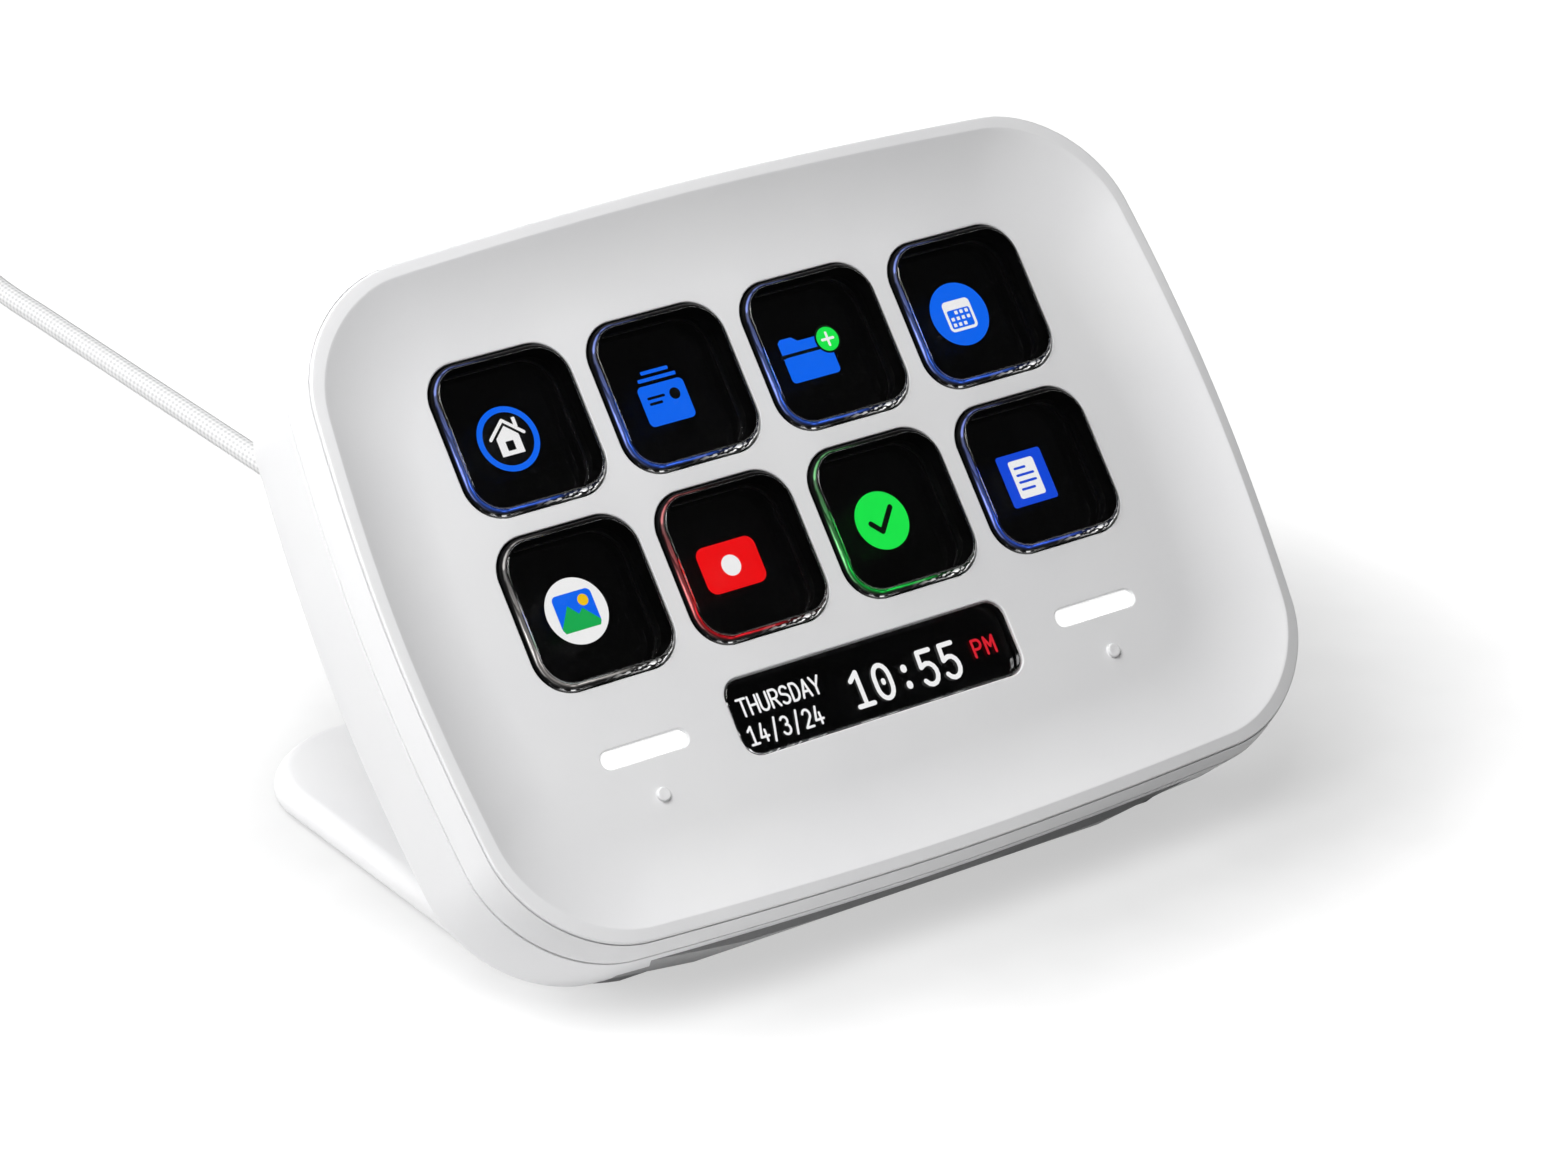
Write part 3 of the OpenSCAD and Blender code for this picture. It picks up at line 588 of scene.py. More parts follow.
WHITE_SHELL = moulded("white_shell", (0.80, 0.80, 0.81), (0.83, 0.83, 0.835), 0.16, 0.006, (0.42, 0.56), 0.4)
SOLE_RUBBER = moulded("sole_rubber", (0.33, 0.33, 0.335), (0.38, 0.38, 0.385), 0.22, 0.02, (0.62, 0.80), 0.3)
SILICONE = moulded("silicone", (0.0035, 0.0035, 0.0037), (0.0055, 0.0055, 0.0058), 0.12, 0.01, (0.50, 0.65), 0.15)
BLACK_FILM = moulded("black_film", (0.0035, 0.0032, 0.0030), (0.0052, 0.0048, 0.0045), 0.30, 0.004,
                     (0.40, 0.50), 0.15)
TRAY_WHITE = moulded("tray_white", (0.72, 0.73, 0.74), (0.78, 0.79, 0.80), 0.12, 0.006, (0.38, 0.52))
WHITE_PLUG = moulded("white_plug", (0.79, 0.79, 0.80), (0.83, 0.83, 0.83), 0.10, 0.004, (0.34, 0.48), 0.4)
CHIP_BLACK = moulded("chip_black", (0.018, 0.018, 0.019), (0.032, 0.032, 0.033), 0.08, 0.006, (0.50, 0.66), 0.3)
SOCKET_CREAM = moulded("socket_cream", (0.74, 0.72, 0.64), (0.80, 0.78, 0.70), 0.10, 0.004, (0.35, 0.50))
FLEX_FILM = moulded("flex_film", (0.42, 0.21, 0.05), (0.52, 0.28, 0.08), 0.30, 0.004, (0.22, 0.36))
DISPLAY_GLASS = moulded("display_glass", (0.0030, 0.0030, 0.0033), (0.0042, 0.0042, 0.0046), 0.09, 0.0005,
                        (0.05, 0.09), 0.4)
LAMP_WHITE = glowing_plastic("lamp_white", (1.0, 0.98, 0.92), 0.6)
LIGHT_GUIDE = glowing_plastic("light_guide", (1.0, 1.0, 1.0), 0.5)
KEY_CLEAR = clear_plastic("key_clear", (1.0, 1.0, 1.0), 1.6, 0.004, 0.15)
# Black coat whose edge gives off painted streaks and painted white glints
KEY_COAT_WITH_PAINTED_GLINTS = key_coat_with_painted_glints("key_coat_with_painted_glints")
LENS_CLEAR = clear_plastic("lens_clear", (0.97, 0.97, 0.98), 2.4, 0.002)
SCREEN_PICTURE = screen_picture("screen_picture", 1.0)
WHITE_SLEEVE = woven_sleeve("white_sleeve", 8, 1.9)
BOARD_GREEN = board_mask("board_green", (0.010, 0.085, 0.040), (0.020, 0.150, 0.070))
PAD_COPPER = metal("pad_copper", (0.62, 0.32, 0.18), (0.80, 0.46, 0.28), 0.20, (0.22, 0.40))
SPRING_WIRE = metal("spring_wire", (0.60, 0.50, 0.26), (0.78, 0.68, 0.40), 0.15, (0.20, 0.34))
SCREW_STEEL = metal("screw_steel", (0.48, 0.48, 0.49), (0.66, 0.66, 0.67), 0.10, (0.24, 0.42))
PLUG_METAL = metal("plug_metal", (0.58, 0.59, 0.61), (0.74, 0.75, 0.77), 0.14, (0.16, 0.30))
PLAIN_SLEEVE = moulded("plain_sleeve", (0.74, 0.74, 0.75), (0.80, 0.80, 0.80), 0.20, 0.01, (0.42, 0.60))
PALE_FLOOR = floor_finish()


# ---- Shells

def dish_ring(u):
    return body_ring(-BAND_TAPER - RIM_W - DISH_W * u, RIM_H * (1 - u) ** 2)


def opening_rings(place, w, h, r, corner_steps):
    """A tool for an opening: straight through the plate, with a softened edge at the face."""
    soft = 0.18
    rings = [face_outline(place, w, h, r, z, corner_steps) for z in (PARTING_Z - 0.2, -0.3)]
    for spread, down in rounding(soft, 4):
        rings.append(face_outline(place, w + 2 * spread, h + 2 * spread, r + spread, -down, corner_steps))
    return rings + [face_outline(place, w + 2 * soft, h + 2 * soft, r + soft, RIM_H + 1, corner_steps)]


def make_face_plate():
    hollow = [(-9.1, PARTING_Z), (-8, -1.25), (-6, -0.6), (-4, 0.2), (-3.1, 0.9), (-2.5, 0.9), (-2.0, PARTING_Z)]
    seam = [(-0.55, PARTING_Z), (-0.55, -1.50), (-0.20, -1.50), (-0.11, -1.47), (-0.08, -1.40), (-0.09, -1.30)]
    band = [(-0.22, -0.5), (-0.40, 0.4), (-0.58, 1.4), (-0.74, 2.1), (-0.775, 2.34), (-0.80, 2.42), (-0.82, 2.43)]
    gap = [(-0.82, 2.20), (-0.90, 2.20), (-0.90, 2.50), (-0.90, 2.56)]
    rim = [(-0.90 - inward, RIM_H - down) for inward, down in rounding(0.2, 6)]
    inner = -BAND_TAPER - RIM_W
    rim += [(-1.35, RIM_H), (-1.7, RIM_H), (inner + 0.12, RIM_H), (inner + 0.05, RIM_H - 0.004)]
    rim += [(inner, RIM_H - 0.020), (inner - 0.05, RIM_H - 0.045)]
    bm = bmesh.new()
    rings = [body_ring(grow, z) for grow, z in hollow + seam]
    for grow, z in band + gap + rim:
        droop = RIM_DROOP * min(max((z + 0.5) / 2.7, 0), 1) * min(max((grow - inner) / 1.1, 0), 1)
        rings.append(body_ring(grow, z, droop))
    rings += [dish_ring(u) for u in [0.012, 0.02, 0.035] + [i / 36 for i in range(2, 37)]]
    closed_skin(bm, rings)
    bmesh.ops.recalc_face_normals(bm, faces=bm.faces)
    plate = new_piece(bm, "face_plate_shell")
    holes = [opening_rings(place, KEY_OPEN, KEY_OPEN, KEY_OPEN_CORNER, 16) for place in KEY_PLACES]
    holes.append(opening_rings((0, STRIP_Y), STRIP_W, STRIP_H, 2.1, 14))
    holes += [opening_rings((side * SLOT_X, STRIP_Y), SLOT_L, SLOT_H, SLOT_H / 2 - 0.01, 16) for side in (-1, 1)]
    shaped(plate, "DIFFERENCE", *holes)
    shaped(plate, "UNION", *face_pins(CASE_SPOTS, POST["case"], -8, -1),
           *face_pins(CARRIER_SPOTS, POST["carrier"], LCD_TOP - 1.6, -1),
           *face_pins(TOUCH_BOARD_SPOTS, POST["touch"], -4.3, -1))
    shaped(plate, "DIFFERENCE", *face_pins(CASE_SPOTS, PILOT["case"], -9, -2),
           *face_pins(CARRIER_SPOTS, PILOT["carrier"], LCD_TOP - 2.6, -2),
           *face_pins(TOUCH_BOARD_SPOTS, PILOT["touch"], -5, -1.4))
    dot = [(0.75, -0.4), (0.75, 0.24)] + [(0.75 - inward, 0.44 - down) for inward, down in rounding(0.2, 6)[1:]]
    dot += [(0.3, 0.42), (0.004, 0.40)]
    shaped(plate, "UNION", *[turned(dot, on_face(side * SLOT_X, DOT_Y), OUT, RIGHT, 40) for side in (-1, 1)])
    return fitted(plate, "white_shell", WHITE_SHELL, "face_plate")


def rear_outer(grow=0.0, seam=True):
    rings = [body_ring(grow - DRAFT - inward, BACK_Z + down) for inward, down in reversed(rounding(EDGE_ROUND, 16))]
    top = [(0, -8.0), (0, -4.0), (0, -1.82), (-0.03, -1.74), (-0.12, -1.71)] if seam else [(0, PARTING_Z)]
    rings += [body_ring(grow + inset, z) for inset, z in top]
    if seam:
        rings += [body_ring(grow - 0.55, -1.71), body_ring(grow - 0.55, -1.61)]
    return rings


def foot_block(height):
    return desk_box(FOOT_W / 2 + 0.01, -BEYOND, BEYOND, -20, height)


def make_rear_housing():
    floor_z = BACK_Z + WALL
    room = new_piece(solid([body_ring(-WALL - 2.4, floor_z), body_ring(-WALL - 1.2, floor_z + 0.4),
                            body_ring(-WALL - 0.5, floor_z + 1.4), body_ring(-WALL, PARTING_Z + 1)]), "room")
    shaped(room, "DIFFERENCE", foot_block(FOOT_T + WALL))
    housing = new_piece(solid(rear_outer()), "rear_shell")
    shaped(housing, "DIFFERENCE", by=room)
    shaped(housing, "UNION", *face_pins(CASE_SPOTS, POST["rear"], floor_z - 1, -8.05),
           *face_pins(BOARD_SPOTS, POST["board"], floor_z - 1, floor_z + 2),
           *desk_pins(FOOT_SPOTS[:2], POST["rear"], 3.5, 8.5))
    shaped(housing, "DIFFERENCE", foot_block(FOOT_T))
    shaped(housing, "DIFFERENCE", *face_pins(CASE_SPOTS, CLEAR["case"], BACK_Z - 1, 0),
           *face_pins(BOARD_SPOTS, PILOT["board"], BACK_Z + 0.8, 0),
           *face_pins(SPINE_SPOTS, CLEAR["spine"], BACK_Z - 1, floor_z + 1),
           *desk_pins(FOOT_SPOTS[:2], PILOT["foot"], 2, 7.5))
    shaped(housing, "DIFFERENCE", *face_pins(CASE_SPOTS, SUNK["case"], BACK_Z - 1, BACK_Z + 1.6, 48))
    lead_way = turned([(1.8, -20), (1.8, 20)], on_desk(0, 2, GLAND_Z), REARWARD, RIGHT)
    shaped(housing, "DIFFERENCE", lead_way)
    return fitted(housing, "white_shell", WHITE_SHELL, "rear_housing")


def spine_rings(inset, steps):
    """Side outline of the spine, as two rings from its left to its right flank."""
    top, end_h, rear = SPINE_TOP - 2 * inset, SPINE_END_H - inset, SPINE_REAR - inset
    base = FOOT_T - (1 if inset else 0)
    start = -2 if inset else 0

    def back_face_y(z):
        rise = z - FACE_MIDDLE.z / MM - BACK_Z * math.sin(LEAN)
        return rise * math.tan(LEAN) - BACK_Z * math.cos(LEAN) + FACE_MIDDLE.y / MM

    corner, pull, crest = Vector((rear, end_h)), Vector((rear - 9, end_h + 2)), Vector((back_face_y(top), top))
    side = [(back_face_y(base) + start, base), (rear, base)]
    for t in (i / steps for i in range(steps + 1)):
        side.append(tuple(corner * (1 - t) ** 2 + pull * 2 * t * (1 - t) + crest * t * t))
    if start:
        side.append((back_face_y(top) + start, top))
    return [[on_desk(x, y, z) for y, z in side] for x in (inset - SPINE_W / 2, SPINE_W / 2 - inset)]


def plan_rings(w, y0, y1, r, z0, z1, steps=20):
    outline = rounded_outline(w / 2, (y1 - y0) / 2, r, steps)
    return [[on_desk(x, y + (y0 + y1) / 2, z) for x, y in outline] for z in (z0, z1)]


def spine_plan(inset):
    return plan_rings(SPINE_W - 2 * inset, -40, SPINE_REAR - inset, SPINE_CORNER - inset, -1, 40)


def make_spine():
    spine = new_piece(solid(spine_rings(0, 40)), "spine_shell")
    shaped(spine, "INTERSECT", spine_plan(0))
    room = new_piece(solid(spine_rings(WALL, 16)), "room")
    shaped(room, "INTERSECT", spine_plan(WALL))
    shaped(spine, "DIFFERENCE", by=room)
    shaped(spine, "DIFFERENCE", turned([(3, -1), (3, 5)], on_desk(0, 17, GLAND_Z), REARWARD, RIGHT))
    return fitted(spine, "white_shell", WHITE_SHELL, "stand_spine")


def foot_ring(inset, z):
    half_l = (FOOT_REAR - FOOT_FRONT) / 2
    outline = rounded_outline(FOOT_W / 2 - inset, half_l - inset, FOOT_R - inset, 20, 30, 20)
    return [on_desk(x, y + (FOOT_REAR + FOOT_FRONT) / 2, z) for x, y in outline]


def make_foot_plate():
    rings = [foot_ring(0.3, SOLE_T), foot_ring(0.08, 0.68), foot_ring(0, 0.85)]
    rings += [foot_ring(inward, FOOT_T - down) for inward, down in rounding(FOOT_ROUND, 12)]
    foot = new_piece(solid(rings), "foot_shell")
    shaped(foot, "INTERSECT", desk_box(ASIDE, LOW_POINT_Y, BEYOND, -1, 10))
    under_body = new_piece(solid(rear_outer(0, False)), "under_body")
    shaped(under_body, "INTERSECT", desk_box(FOOT_W / 2, -BEYOND, BEYOND, SOLE_T, FOOT_T))
    shaped(foot, "UNION", by=under_body)
    shaped(foot, "DIFFERENCE", *desk_pins(FOOT_SPOTS, CLEAR["foot"], 0, 4))
    shaped(foot, "DIFFERENCE", *desk_pins(FOOT_SPOTS, SUNK["foot"], 0, 1.6))
    return fitted(foot, "white_shell", WHITE_SHELL, "foot_plate")


def make_sole():
    """Thin tread under the foot, and a lip that closes round the body's lower front and thins out to its sides."""
    rake = math.radians(34)
    sole = new_piece(solid(rear_outer(SOLE_LIP, False)), "sole_lip")
    within = solid(rear_outer(-0.5, False))
    for vert, inner in zip(sole.data.vertices, within.verts):
        vert.co = vert.co.lerp(inner.co, min(max((abs(vert.co.x / MM) - 24) / 20, 0), 1))
    within.free()
    shaped(sole, "INTERSECT", plan_rings(94, -34, 53.6, 14, 0, 7))
    shaped(sole, "INTERSECT", desk_box(ASIDE, -BEYOND, LOW_POINT_Y + 0.5, 0, 7))
    tread = new_piece(solid([foot_ring(1.0, 0), foot_ring(1.0, SOLE_T)]), "tread")
    shaped(tread, "INTERSECT", desk_box(ASIDE, LOW_POINT_Y, BEYOND, 0, 1))
    shaped(sole, "UNION", by=tread)
    body = new_piece(solid(rear_outer(0, False)), "body")
    shaped(body, "INTERSECT", desk_box(ASIDE, -BEYOND, BEYOND, SOLE_T, 30))
    shaped(sole, "DIFFERENCE", by=body)
    shaped(sole, "DIFFERENCE", desk_box(ASIDE, LOW_POINT_Y, BEYOND, SOLE_T, 20))
    above = [[on_face(x, y, z) for x, y in ((-90, -90), (90, -90), (90, 90), (-90, 90))] for z in (-4.2, 60)]
    shaped(sole, "DIFFERENCE", above)
    front = LOW_POINT_Y - 1.1
    wedge = [[on_desk(x, front + y * math.cos(rake) + z * math.sin(rake), z * math.cos(rake) - y * math.sin(rake))
              for x, y in ((-ASIDE, -40), (ASIDE, -40), (ASIDE, 0), (-ASIDE, 0))] for z in (-20, 0)]
    shaped(sole, "DIFFERENCE", wedge)
    return fitted(sole, "sole_rubber", SOLE_RUBBER, "foot_sole")


# ---- Keys

# Colours of the painted streaks on each key's edge, standing in for its picture's light seen in the clear edge
PAINTED_EDGE_TINTS = [(0.05, 0.16, 0.85)] * 4
PAINTED_EDGE_TINTS += [(0.55, 0.52, 0.50), (0.75, 0.01, 0.02), (0.01, 0.62, 0.07), (0.05, 0.14, 0.85)]


def painted_key_glints(index, x, y, across):
    """Painted light along the edge, from 0 at its foot to 1 at its top: streaks painted in the picture's colour, and
    the share of painted white glint.
    """
    angle = math.degrees(math.atan2(y, x))

    def near(middle, spread, at, width):
        off = (angle - middle + 180) % 360 - 180
        return math.exp(-(off / spread) ** 2 - ((across - at) / width) ** 2)

    # Painted streaks in inner, outer and top runs, and patches of painted white glint
    inner = near(224, 44, 0.88, 0.13) * 1.4
    outer = near(196, 17, 0.62, 0.11) * 1.6
    top = near(146, 28, 0.80, 0.11) * 0.7
    white = max(near(-62, 20, 0.55, 0.34), 0.7 * near(-122, 9, 0.15, 0.16), 0.8 * near(-36, 7, 0.30, 0.15))
    pale = 0.28 * outer + 0.30 * top
    return tuple((inner + outer + top) * c + pale for c in PAINTED_EDGE_TINTS[index]) + (1,), (white, white, white, 1)


def make_key(index):
    """Clear block in a glossy black coat that ends just below the rounded edge of its top."""
    place = KEY_PLACES[index]
    half = KEY_OPEN / 2 - KEY_GAP
    shoulder = 12

    def outline(w, r):
        return rounded_outline(w, w, r, 14, 14, 14)

    def ring(inset, z, reach=0.0, r=KEY_CORNER):
        return [on_face(place[0] + x, place[1] + y, z) for x, y in outline(half - inset + reach, r - inset)]

    flange = (KEY_FLANGE_W / 2 - half, KEY_FLANGE_CORNER)
    coat = [ring(0, -2.3, 7.5 - half, 3.4)]
    coat += [ring(inset, z, *flange) for inset, z in ((0.15, -2.3), (0, -2.15), (0, -1.70), (0.05, -1.65))]
    coat += [ring(-0.06, -1.65), ring(0, -1.58), ring(0, -1.0)]
    below = len(coat)
    for step in range(shoulder + 1):
        t = math.radians(65) * step / shoulder
        coat.append(ring(0.953 * (1 - math.cos(t)), -0.1 + 0.772 * math.sin(t)))
    clear = [ring(0.55 + 0.30 * inward, KEY_PROUD - 0.25 * down) for inward, down in rounding(1, 8)[1:]]
    clear += [ring(0.95, KEY_PROUD), ring(2.4, KEY_PROUD)]
    bm = bmesh.new()
    painted_edge_light = bm.loops.layers.float_color.new("painted_edge_light")
    painted_edge_glint = bm.loops.layers.float_color.new("painted_edge_glint")
    edge_place = bm.loops.layers.uv.new("edge_place")
    rows = closed_skin(bm, coat + clear)
    flat = outline(half, KEY_CORNER)
    # Painted light for the coat's shoulder: streak colours, glint shares and places along the edge
    light, places = {}, {}
    for step, row in enumerate(rows[below:len(coat)]):
        for i, (vert, (x, y)) in enumerate(zip(row, flat)):
            light[vert] = painted_key_glints(index, x, y, step / shoulder)
            places[vert] = (i * 60 / len(flat), step / shoulder)
    coated = {vert for row in rows[:len(coat)] for vert in row}
    for face in bm.faces:
        if coated.issuperset(face.verts) and len(face.verts) == 4:
            face.material_index = 1
        for loop in face.loops:
            loop[painted_edge_light], loop[painted_edge_glint] = light.get(loop.vert, ((0, 0, 0, 1), (0, 0, 0, 1)))
            loop[edge_place].uv = places.get(loop.vert, (index * 60.0, 0.0))
    key = new_piece(bm, f"key_cap_{index + 1}")
    return fitted(key, "key_clear", KEY_CLEAR, f"key_{index + 1}", body=f"button_{index + 1}", coat=KEY_COAT_WITH_PAINTED_GLINTS)


# ---- Drawings on the displays

WHITE = (1.0, 1.0, 1.0)
BLUE = (0.004, 0.150, 1.0)
GREEN = (0.011, 0.91, 0.080)
RED = (0.97, 0.004, 0.006)
YELLOW = (1.0, 0.62, 0.01)
DARK = (0.0015, 0.0015, 0.0015)


class Drawing:
    """Flat shapes on a surface at the level, each new one a hair in front of the last."""

    def __init__(self, level):
        self.bm = bmesh.new()
        self.tint = self.bm.loops.layers.float_color.new("tint")
        self.uv = self.bm.loops.layers.uv.new("dots")
        self.level = level + 0.004
        self.middle = (0.0, 0.0)

    def shape(self, points, colour):
        self.level += 0.0012
        x0, y0 = self.middle
        verts = [self.bm.verts.new(on_face(x0 + x, y0 + y, self.level)) for x, y in points]
        face = self.bm.faces.new(verts)
        face.normal_update()
        if face.normal.dot(OUT) < 0:
            face.normal_flip()
        places = dict(zip(verts, points))
        for loop in face.loops:
            loop[self.tint] = (*colour, 1.0)
            x, y = places[loop.vert]
            loop[self.uv].uv = (x0 + x, y0 + y)

    def disc(self, x, y, r, colour, steps=48):
        self.shape([(x + r * px, y + r * py) for px, py in circle(steps)], colour)

    def block(self, x, y, w, h, r, colour):
        self.shape([(x + px, y + py) for px, py in rounded_outline(w / 2, h / 2, max(r, 0.001), 6)], colour)

    def stroke(self, points, w, colour):
        """A pen line of even width through the points, with round ends and bends."""
        points = [Vector(p) for p in points]
        for p, q in zip(points, points[1:]):
            side = Vector((p.y - q.y, q.x - p.x)).normalized() * w / 2
            self.shape([p - side, q - side, q + side, p + side], colour)
        for p in points:
            self.disc(p.x, p.y, w / 2, colour, 12)

    def piece(self, name, slot):
        bmesh.ops.triangulate(self.bm, faces=[f for f in self.bm.faces if len(f.verts) > 4], ngon_method="EAR_CLIP")
        return fitted(new_piece(self.bm, name), slot, SCREEN_PICTURE, smooth=False)


def arc(x, y, rx, ry, start, end, steps=10):
    turns = [math.radians(start + (end - start) * i / steps) for i in range(steps + 1)]
    return [(x + rx * math.cos(turn), y + ry * math.sin(turn)) for turn in turns]


# Letters as pen lines in a cell 1 wide and 1 high
LETTERS = {
    "T": [[(0, 1), (1, 1)], [(0.5, 1), (0.5, 0)]],
    "H": [[(0.05, 0), (0.05, 1)], [(0.95, 0), (0.95, 1)], [(0.05, 0.5), (0.95, 0.5)]],
    "U": [[(0.05, 1), (0.05, 0.3)] + arc(0.5, 0.3, 0.45, 0.3, 180, 360) + [(0.95, 1)]],
    "R": [[(0.08, 0), (0.08, 1), (0.5, 1)] + arc(0.55, 0.74, 0.4, 0.26, 90, -90) + [(0.08, 0.48)],
          [(0.5, 0.48), (0.98, 0)]],
    "S": [arc(0.5, 0.74, 0.42, 0.26, 25, 215) + arc(0.5, 0.26, 0.45, 0.26, 75, -150)],
    "D": [[(0.08, 0), (0.08, 1), (0.4, 1)] + arc(0.4, 0.5, 0.54, 0.5, 90, -90) + [(0.08, 0)]],
    "A": [[(0, 0), (0.5, 1), (1, 0)], [(0.2, 0.33), (0.8, 0.33)]],
    "Y": [[(0, 1), (0.5, 0.45), (1, 1)], [(0.5, 0.45), (0.5, 0)]],
    "P": [[(0.08, 0), (0.08, 1), (0.5, 1)] + arc(0.55, 0.72, 0.4, 0.28, 90, -90) + [(0.08, 0.44)]],
    "M": [[(0.04, 0), (0.04, 1), (0.5, 0.4), (0.96, 1), (0.96, 0)]],
    "0": [arc(0.5, 0.62, 0.44, 0.38, 0, 180) + arc(0.5, 0.38, 0.44, 0.38, 180, 360) + [(0.94, 0.62)],
          [(0.5, 0.47), (0.5, 0.53)]],
    "1": [[(0.08, 0.78), (0.52, 1), (0.52, 0)], [(0.08, 0), (0.96, 0)]],
    "2": [arc(0.5, 0.7, 0.42, 0.3, 160, -30) + [(0.08, 0), (0.94, 0)]],
    "3": [arc(0.48, 0.76, 0.4, 0.24, 150, -80), arc(0.48, 0.28, 0.45, 0.28, 80, -155)],
    "4": [[(0.66, 0), (0.66, 0.62)], [(0.42, 1), (0.04, 0.26), (0.96, 0.26)]],
    "5": [[(0.88, 1), (0.16, 1), (0.12, 0.55)] + arc(0.47, 0.31, 0.45, 0.32, 118, -148)],
    ":": [[(0.5, 0.16), (0.5, 0.2)], [(0.5, 0.66), (0.5, 0.7)]],
    "/": [[(0.2, -0.14), (0.8, 1.12)]],
}


def write_line(drawing, words, x, y, w, h, pitch, pen, colour):
    for i, letter in enumerate(words):
        heavy = 1.45 if letter == ":" else 1.0
        for line in LETTERS[letter]:
            drawing.stroke([(x + i * pitch + px * w, y + py * h) for px, py in line], pen * heavy, colour)


def draw_home(d):
    d.disc(0, 0, 3.55, BLUE)
    d.disc(0, 0, 2.90, DARK)
    d.shape([(-1.35, 0.25), (0, 1.45), (1.35, 0.25), (1.35, -1.75), (-1.35, -1.75)], WHITE)
    d.block(0, -0.75, 0.95, 1.05, 0.1, DARK)
    d.stroke([(-2.05, 0.1), (0, 1.9), (2.05, 0.1)], 0.62, DARK)
    d.stroke([(-2.0, 0.3), (0, 2.05), (2.0, 0.3)], 0.36, WHITE)
    d.block(1.35, 1.55, 0.42, 1.1, 0.05, WHITE)


def draw_cards(d):
    d.block(0, -0.7, 5.7, 4.5, 0.6, BLUE)
    for y, w in ((2.15, 4.7), (2.92, 3.4)):
        d.block(0, y, w, 0.40, 0.12, BLUE)
    d.disc(1.35, 0.0, 0.64, DARK)
    d.stroke([(-1.9, 0.12), (0.0, 0.12)], 0.30, DARK)
    d.stroke([(-1.85, -0.52), (-0.5, -0.52)], 0.30, DARK)


def draw_folder(d):
    tab = [(-3.8, 0.2), (-3.8, 2.15), (-3.4, 2.5), (-2.0, 2.5), (-1.3, 1.95), (2.0, 1.95), (2.4, 1.6), (2.4, 0.2)]
    d.shape(tab, BLUE)
    d.block(-0.7, 0.55, 6.6, 0.45, 0.001, DARK)
    d.block(-0.7, -1.05, 6.2, 2.9, 0.5, BLUE)
    d.disc(2.3, 1.3, 1.60, DARK)
    d.disc(2.3, 1.3, 1.36, GREEN)
    d.stroke([(1.6, 1.3), (3.0, 1.3)], 0.3, WHITE)
    d.stroke([(2.3, 0.6), (2.3, 2.0)], 0.3, WHITE)


def draw_calendar(d):
    d.disc(0, 0.1, 3.62, BLUE)
    d.block(0, 0, 3.6, 3.5, 0.55, WHITE)
    d.block(0, -0.35, 2.95, 2.15, 0.25, BLUE)
    for row in range(3):
        for col in range(4):
            if (row, col) not in ((0, 0), (2, 3)):
                d.block(-1.02 + 0.68 * col, 0.35 - 0.68 * row, 0.4, 0.4, 0.06, WHITE)


def draw_landscape(d):
    d.disc(0, 0, 3.6, WHITE)
    d.block(0, 0.0, 4.7, 4.1, 0.6, BLUE)
    d.disc(1.15, 0.95, 0.62, YELLOW)
    d.shape([(-2.35, -1.5), (-0.85, 0.75), (0.15, -0.35), (0.75, 0.15), (2.35, -1.5), (2.1, -2.05), (-2.1, -2.05)],
            (0.010, 0.46, 0.090))


def draw_record(d):
    d.block(-0.1, 0, 7.3, 5.2, 1.1, RED)
    d.disc(-0.1, 0, 1.15, WHITE)


def draw_done(d):
    d.disc(0, 0, 3.25, GREEN)
    d.stroke([(-1.45, -0.05), (-0.4, -1.15), (1.55, 1.15)], 0.62, DARK)


def draw_notes(d):
    d.block(0, 0, 5.9, 5.9, 0.35, (0.007, 0.075, 0.80))
    d.block(0, 0, 3.3, 4.3, 0.3, WHITE)
    for y, w in ((1.25, 1.3), (0.45, 2.1), (-0.35, 2.1), (-1.15, 1.6)):
        d.stroke([(-1.05, y), (-1.05 + w, y)], 0.28, (0.007, 0.075, 0.80))


def draw_screens():
    icons = (draw_home, draw_cards, draw_folder, draw_calendar, draw_landscape, draw_record, draw_done, draw_notes)
    for i, (draw, (x, y)) in enumerate(zip(icons, KEY_PLACES)):
        drawing = Drawing(LCD_TOP)
        drawing.middle = (x + 0.12, y)
        draw(drawing)
        drawing.piece(f"key_picture_{i + 1}", "display_panel")
    clock = Drawing(LENS_BACK_Z)
    write_line(clock, "THURSDAY", -16.0, -25.4, 1.02, 1.85, 1.29, 0.26, WHITE)
    write_line(clock, "14/3/24", -16.2, -28.5, 1.02, 1.90, 1.36, 0.26, WHITE)
    write_line(clock, "10:55", -2.6, -28.1, 2.1, 3.65, 2.88, 0.52, WHITE)
    write_line(clock, "PM", 13.1, -26.8, 1.15, 1.80, 1.62, 0.30, (0.75, 0.015, 0.03))
    clock.piece("clock_picture", "lens_black")


# ---- Lens and light guides

def make_lens():
    def ring(grow, r, z):
        return face_outline((0, STRIP_Y), STRIP_W + grow, STRIP_H + grow, r, z, 14)

    rings = [ring(1.6, 2.6, z) for z in (LENS_BACK_Z, PARTING_Z)] + [ring(-0.3, 2.0, z) for z in (PARTING_Z, -0.9)]
    rings += [ring(-0.3 - 2 * inward, 2.0 - inward, -0.12 - down) for inward, down in rounding(0.22, 6)]
    return fitted(new_piece(solid(rings), "strip_lens"), "lens_black", LENS_CLEAR, "info_lens")


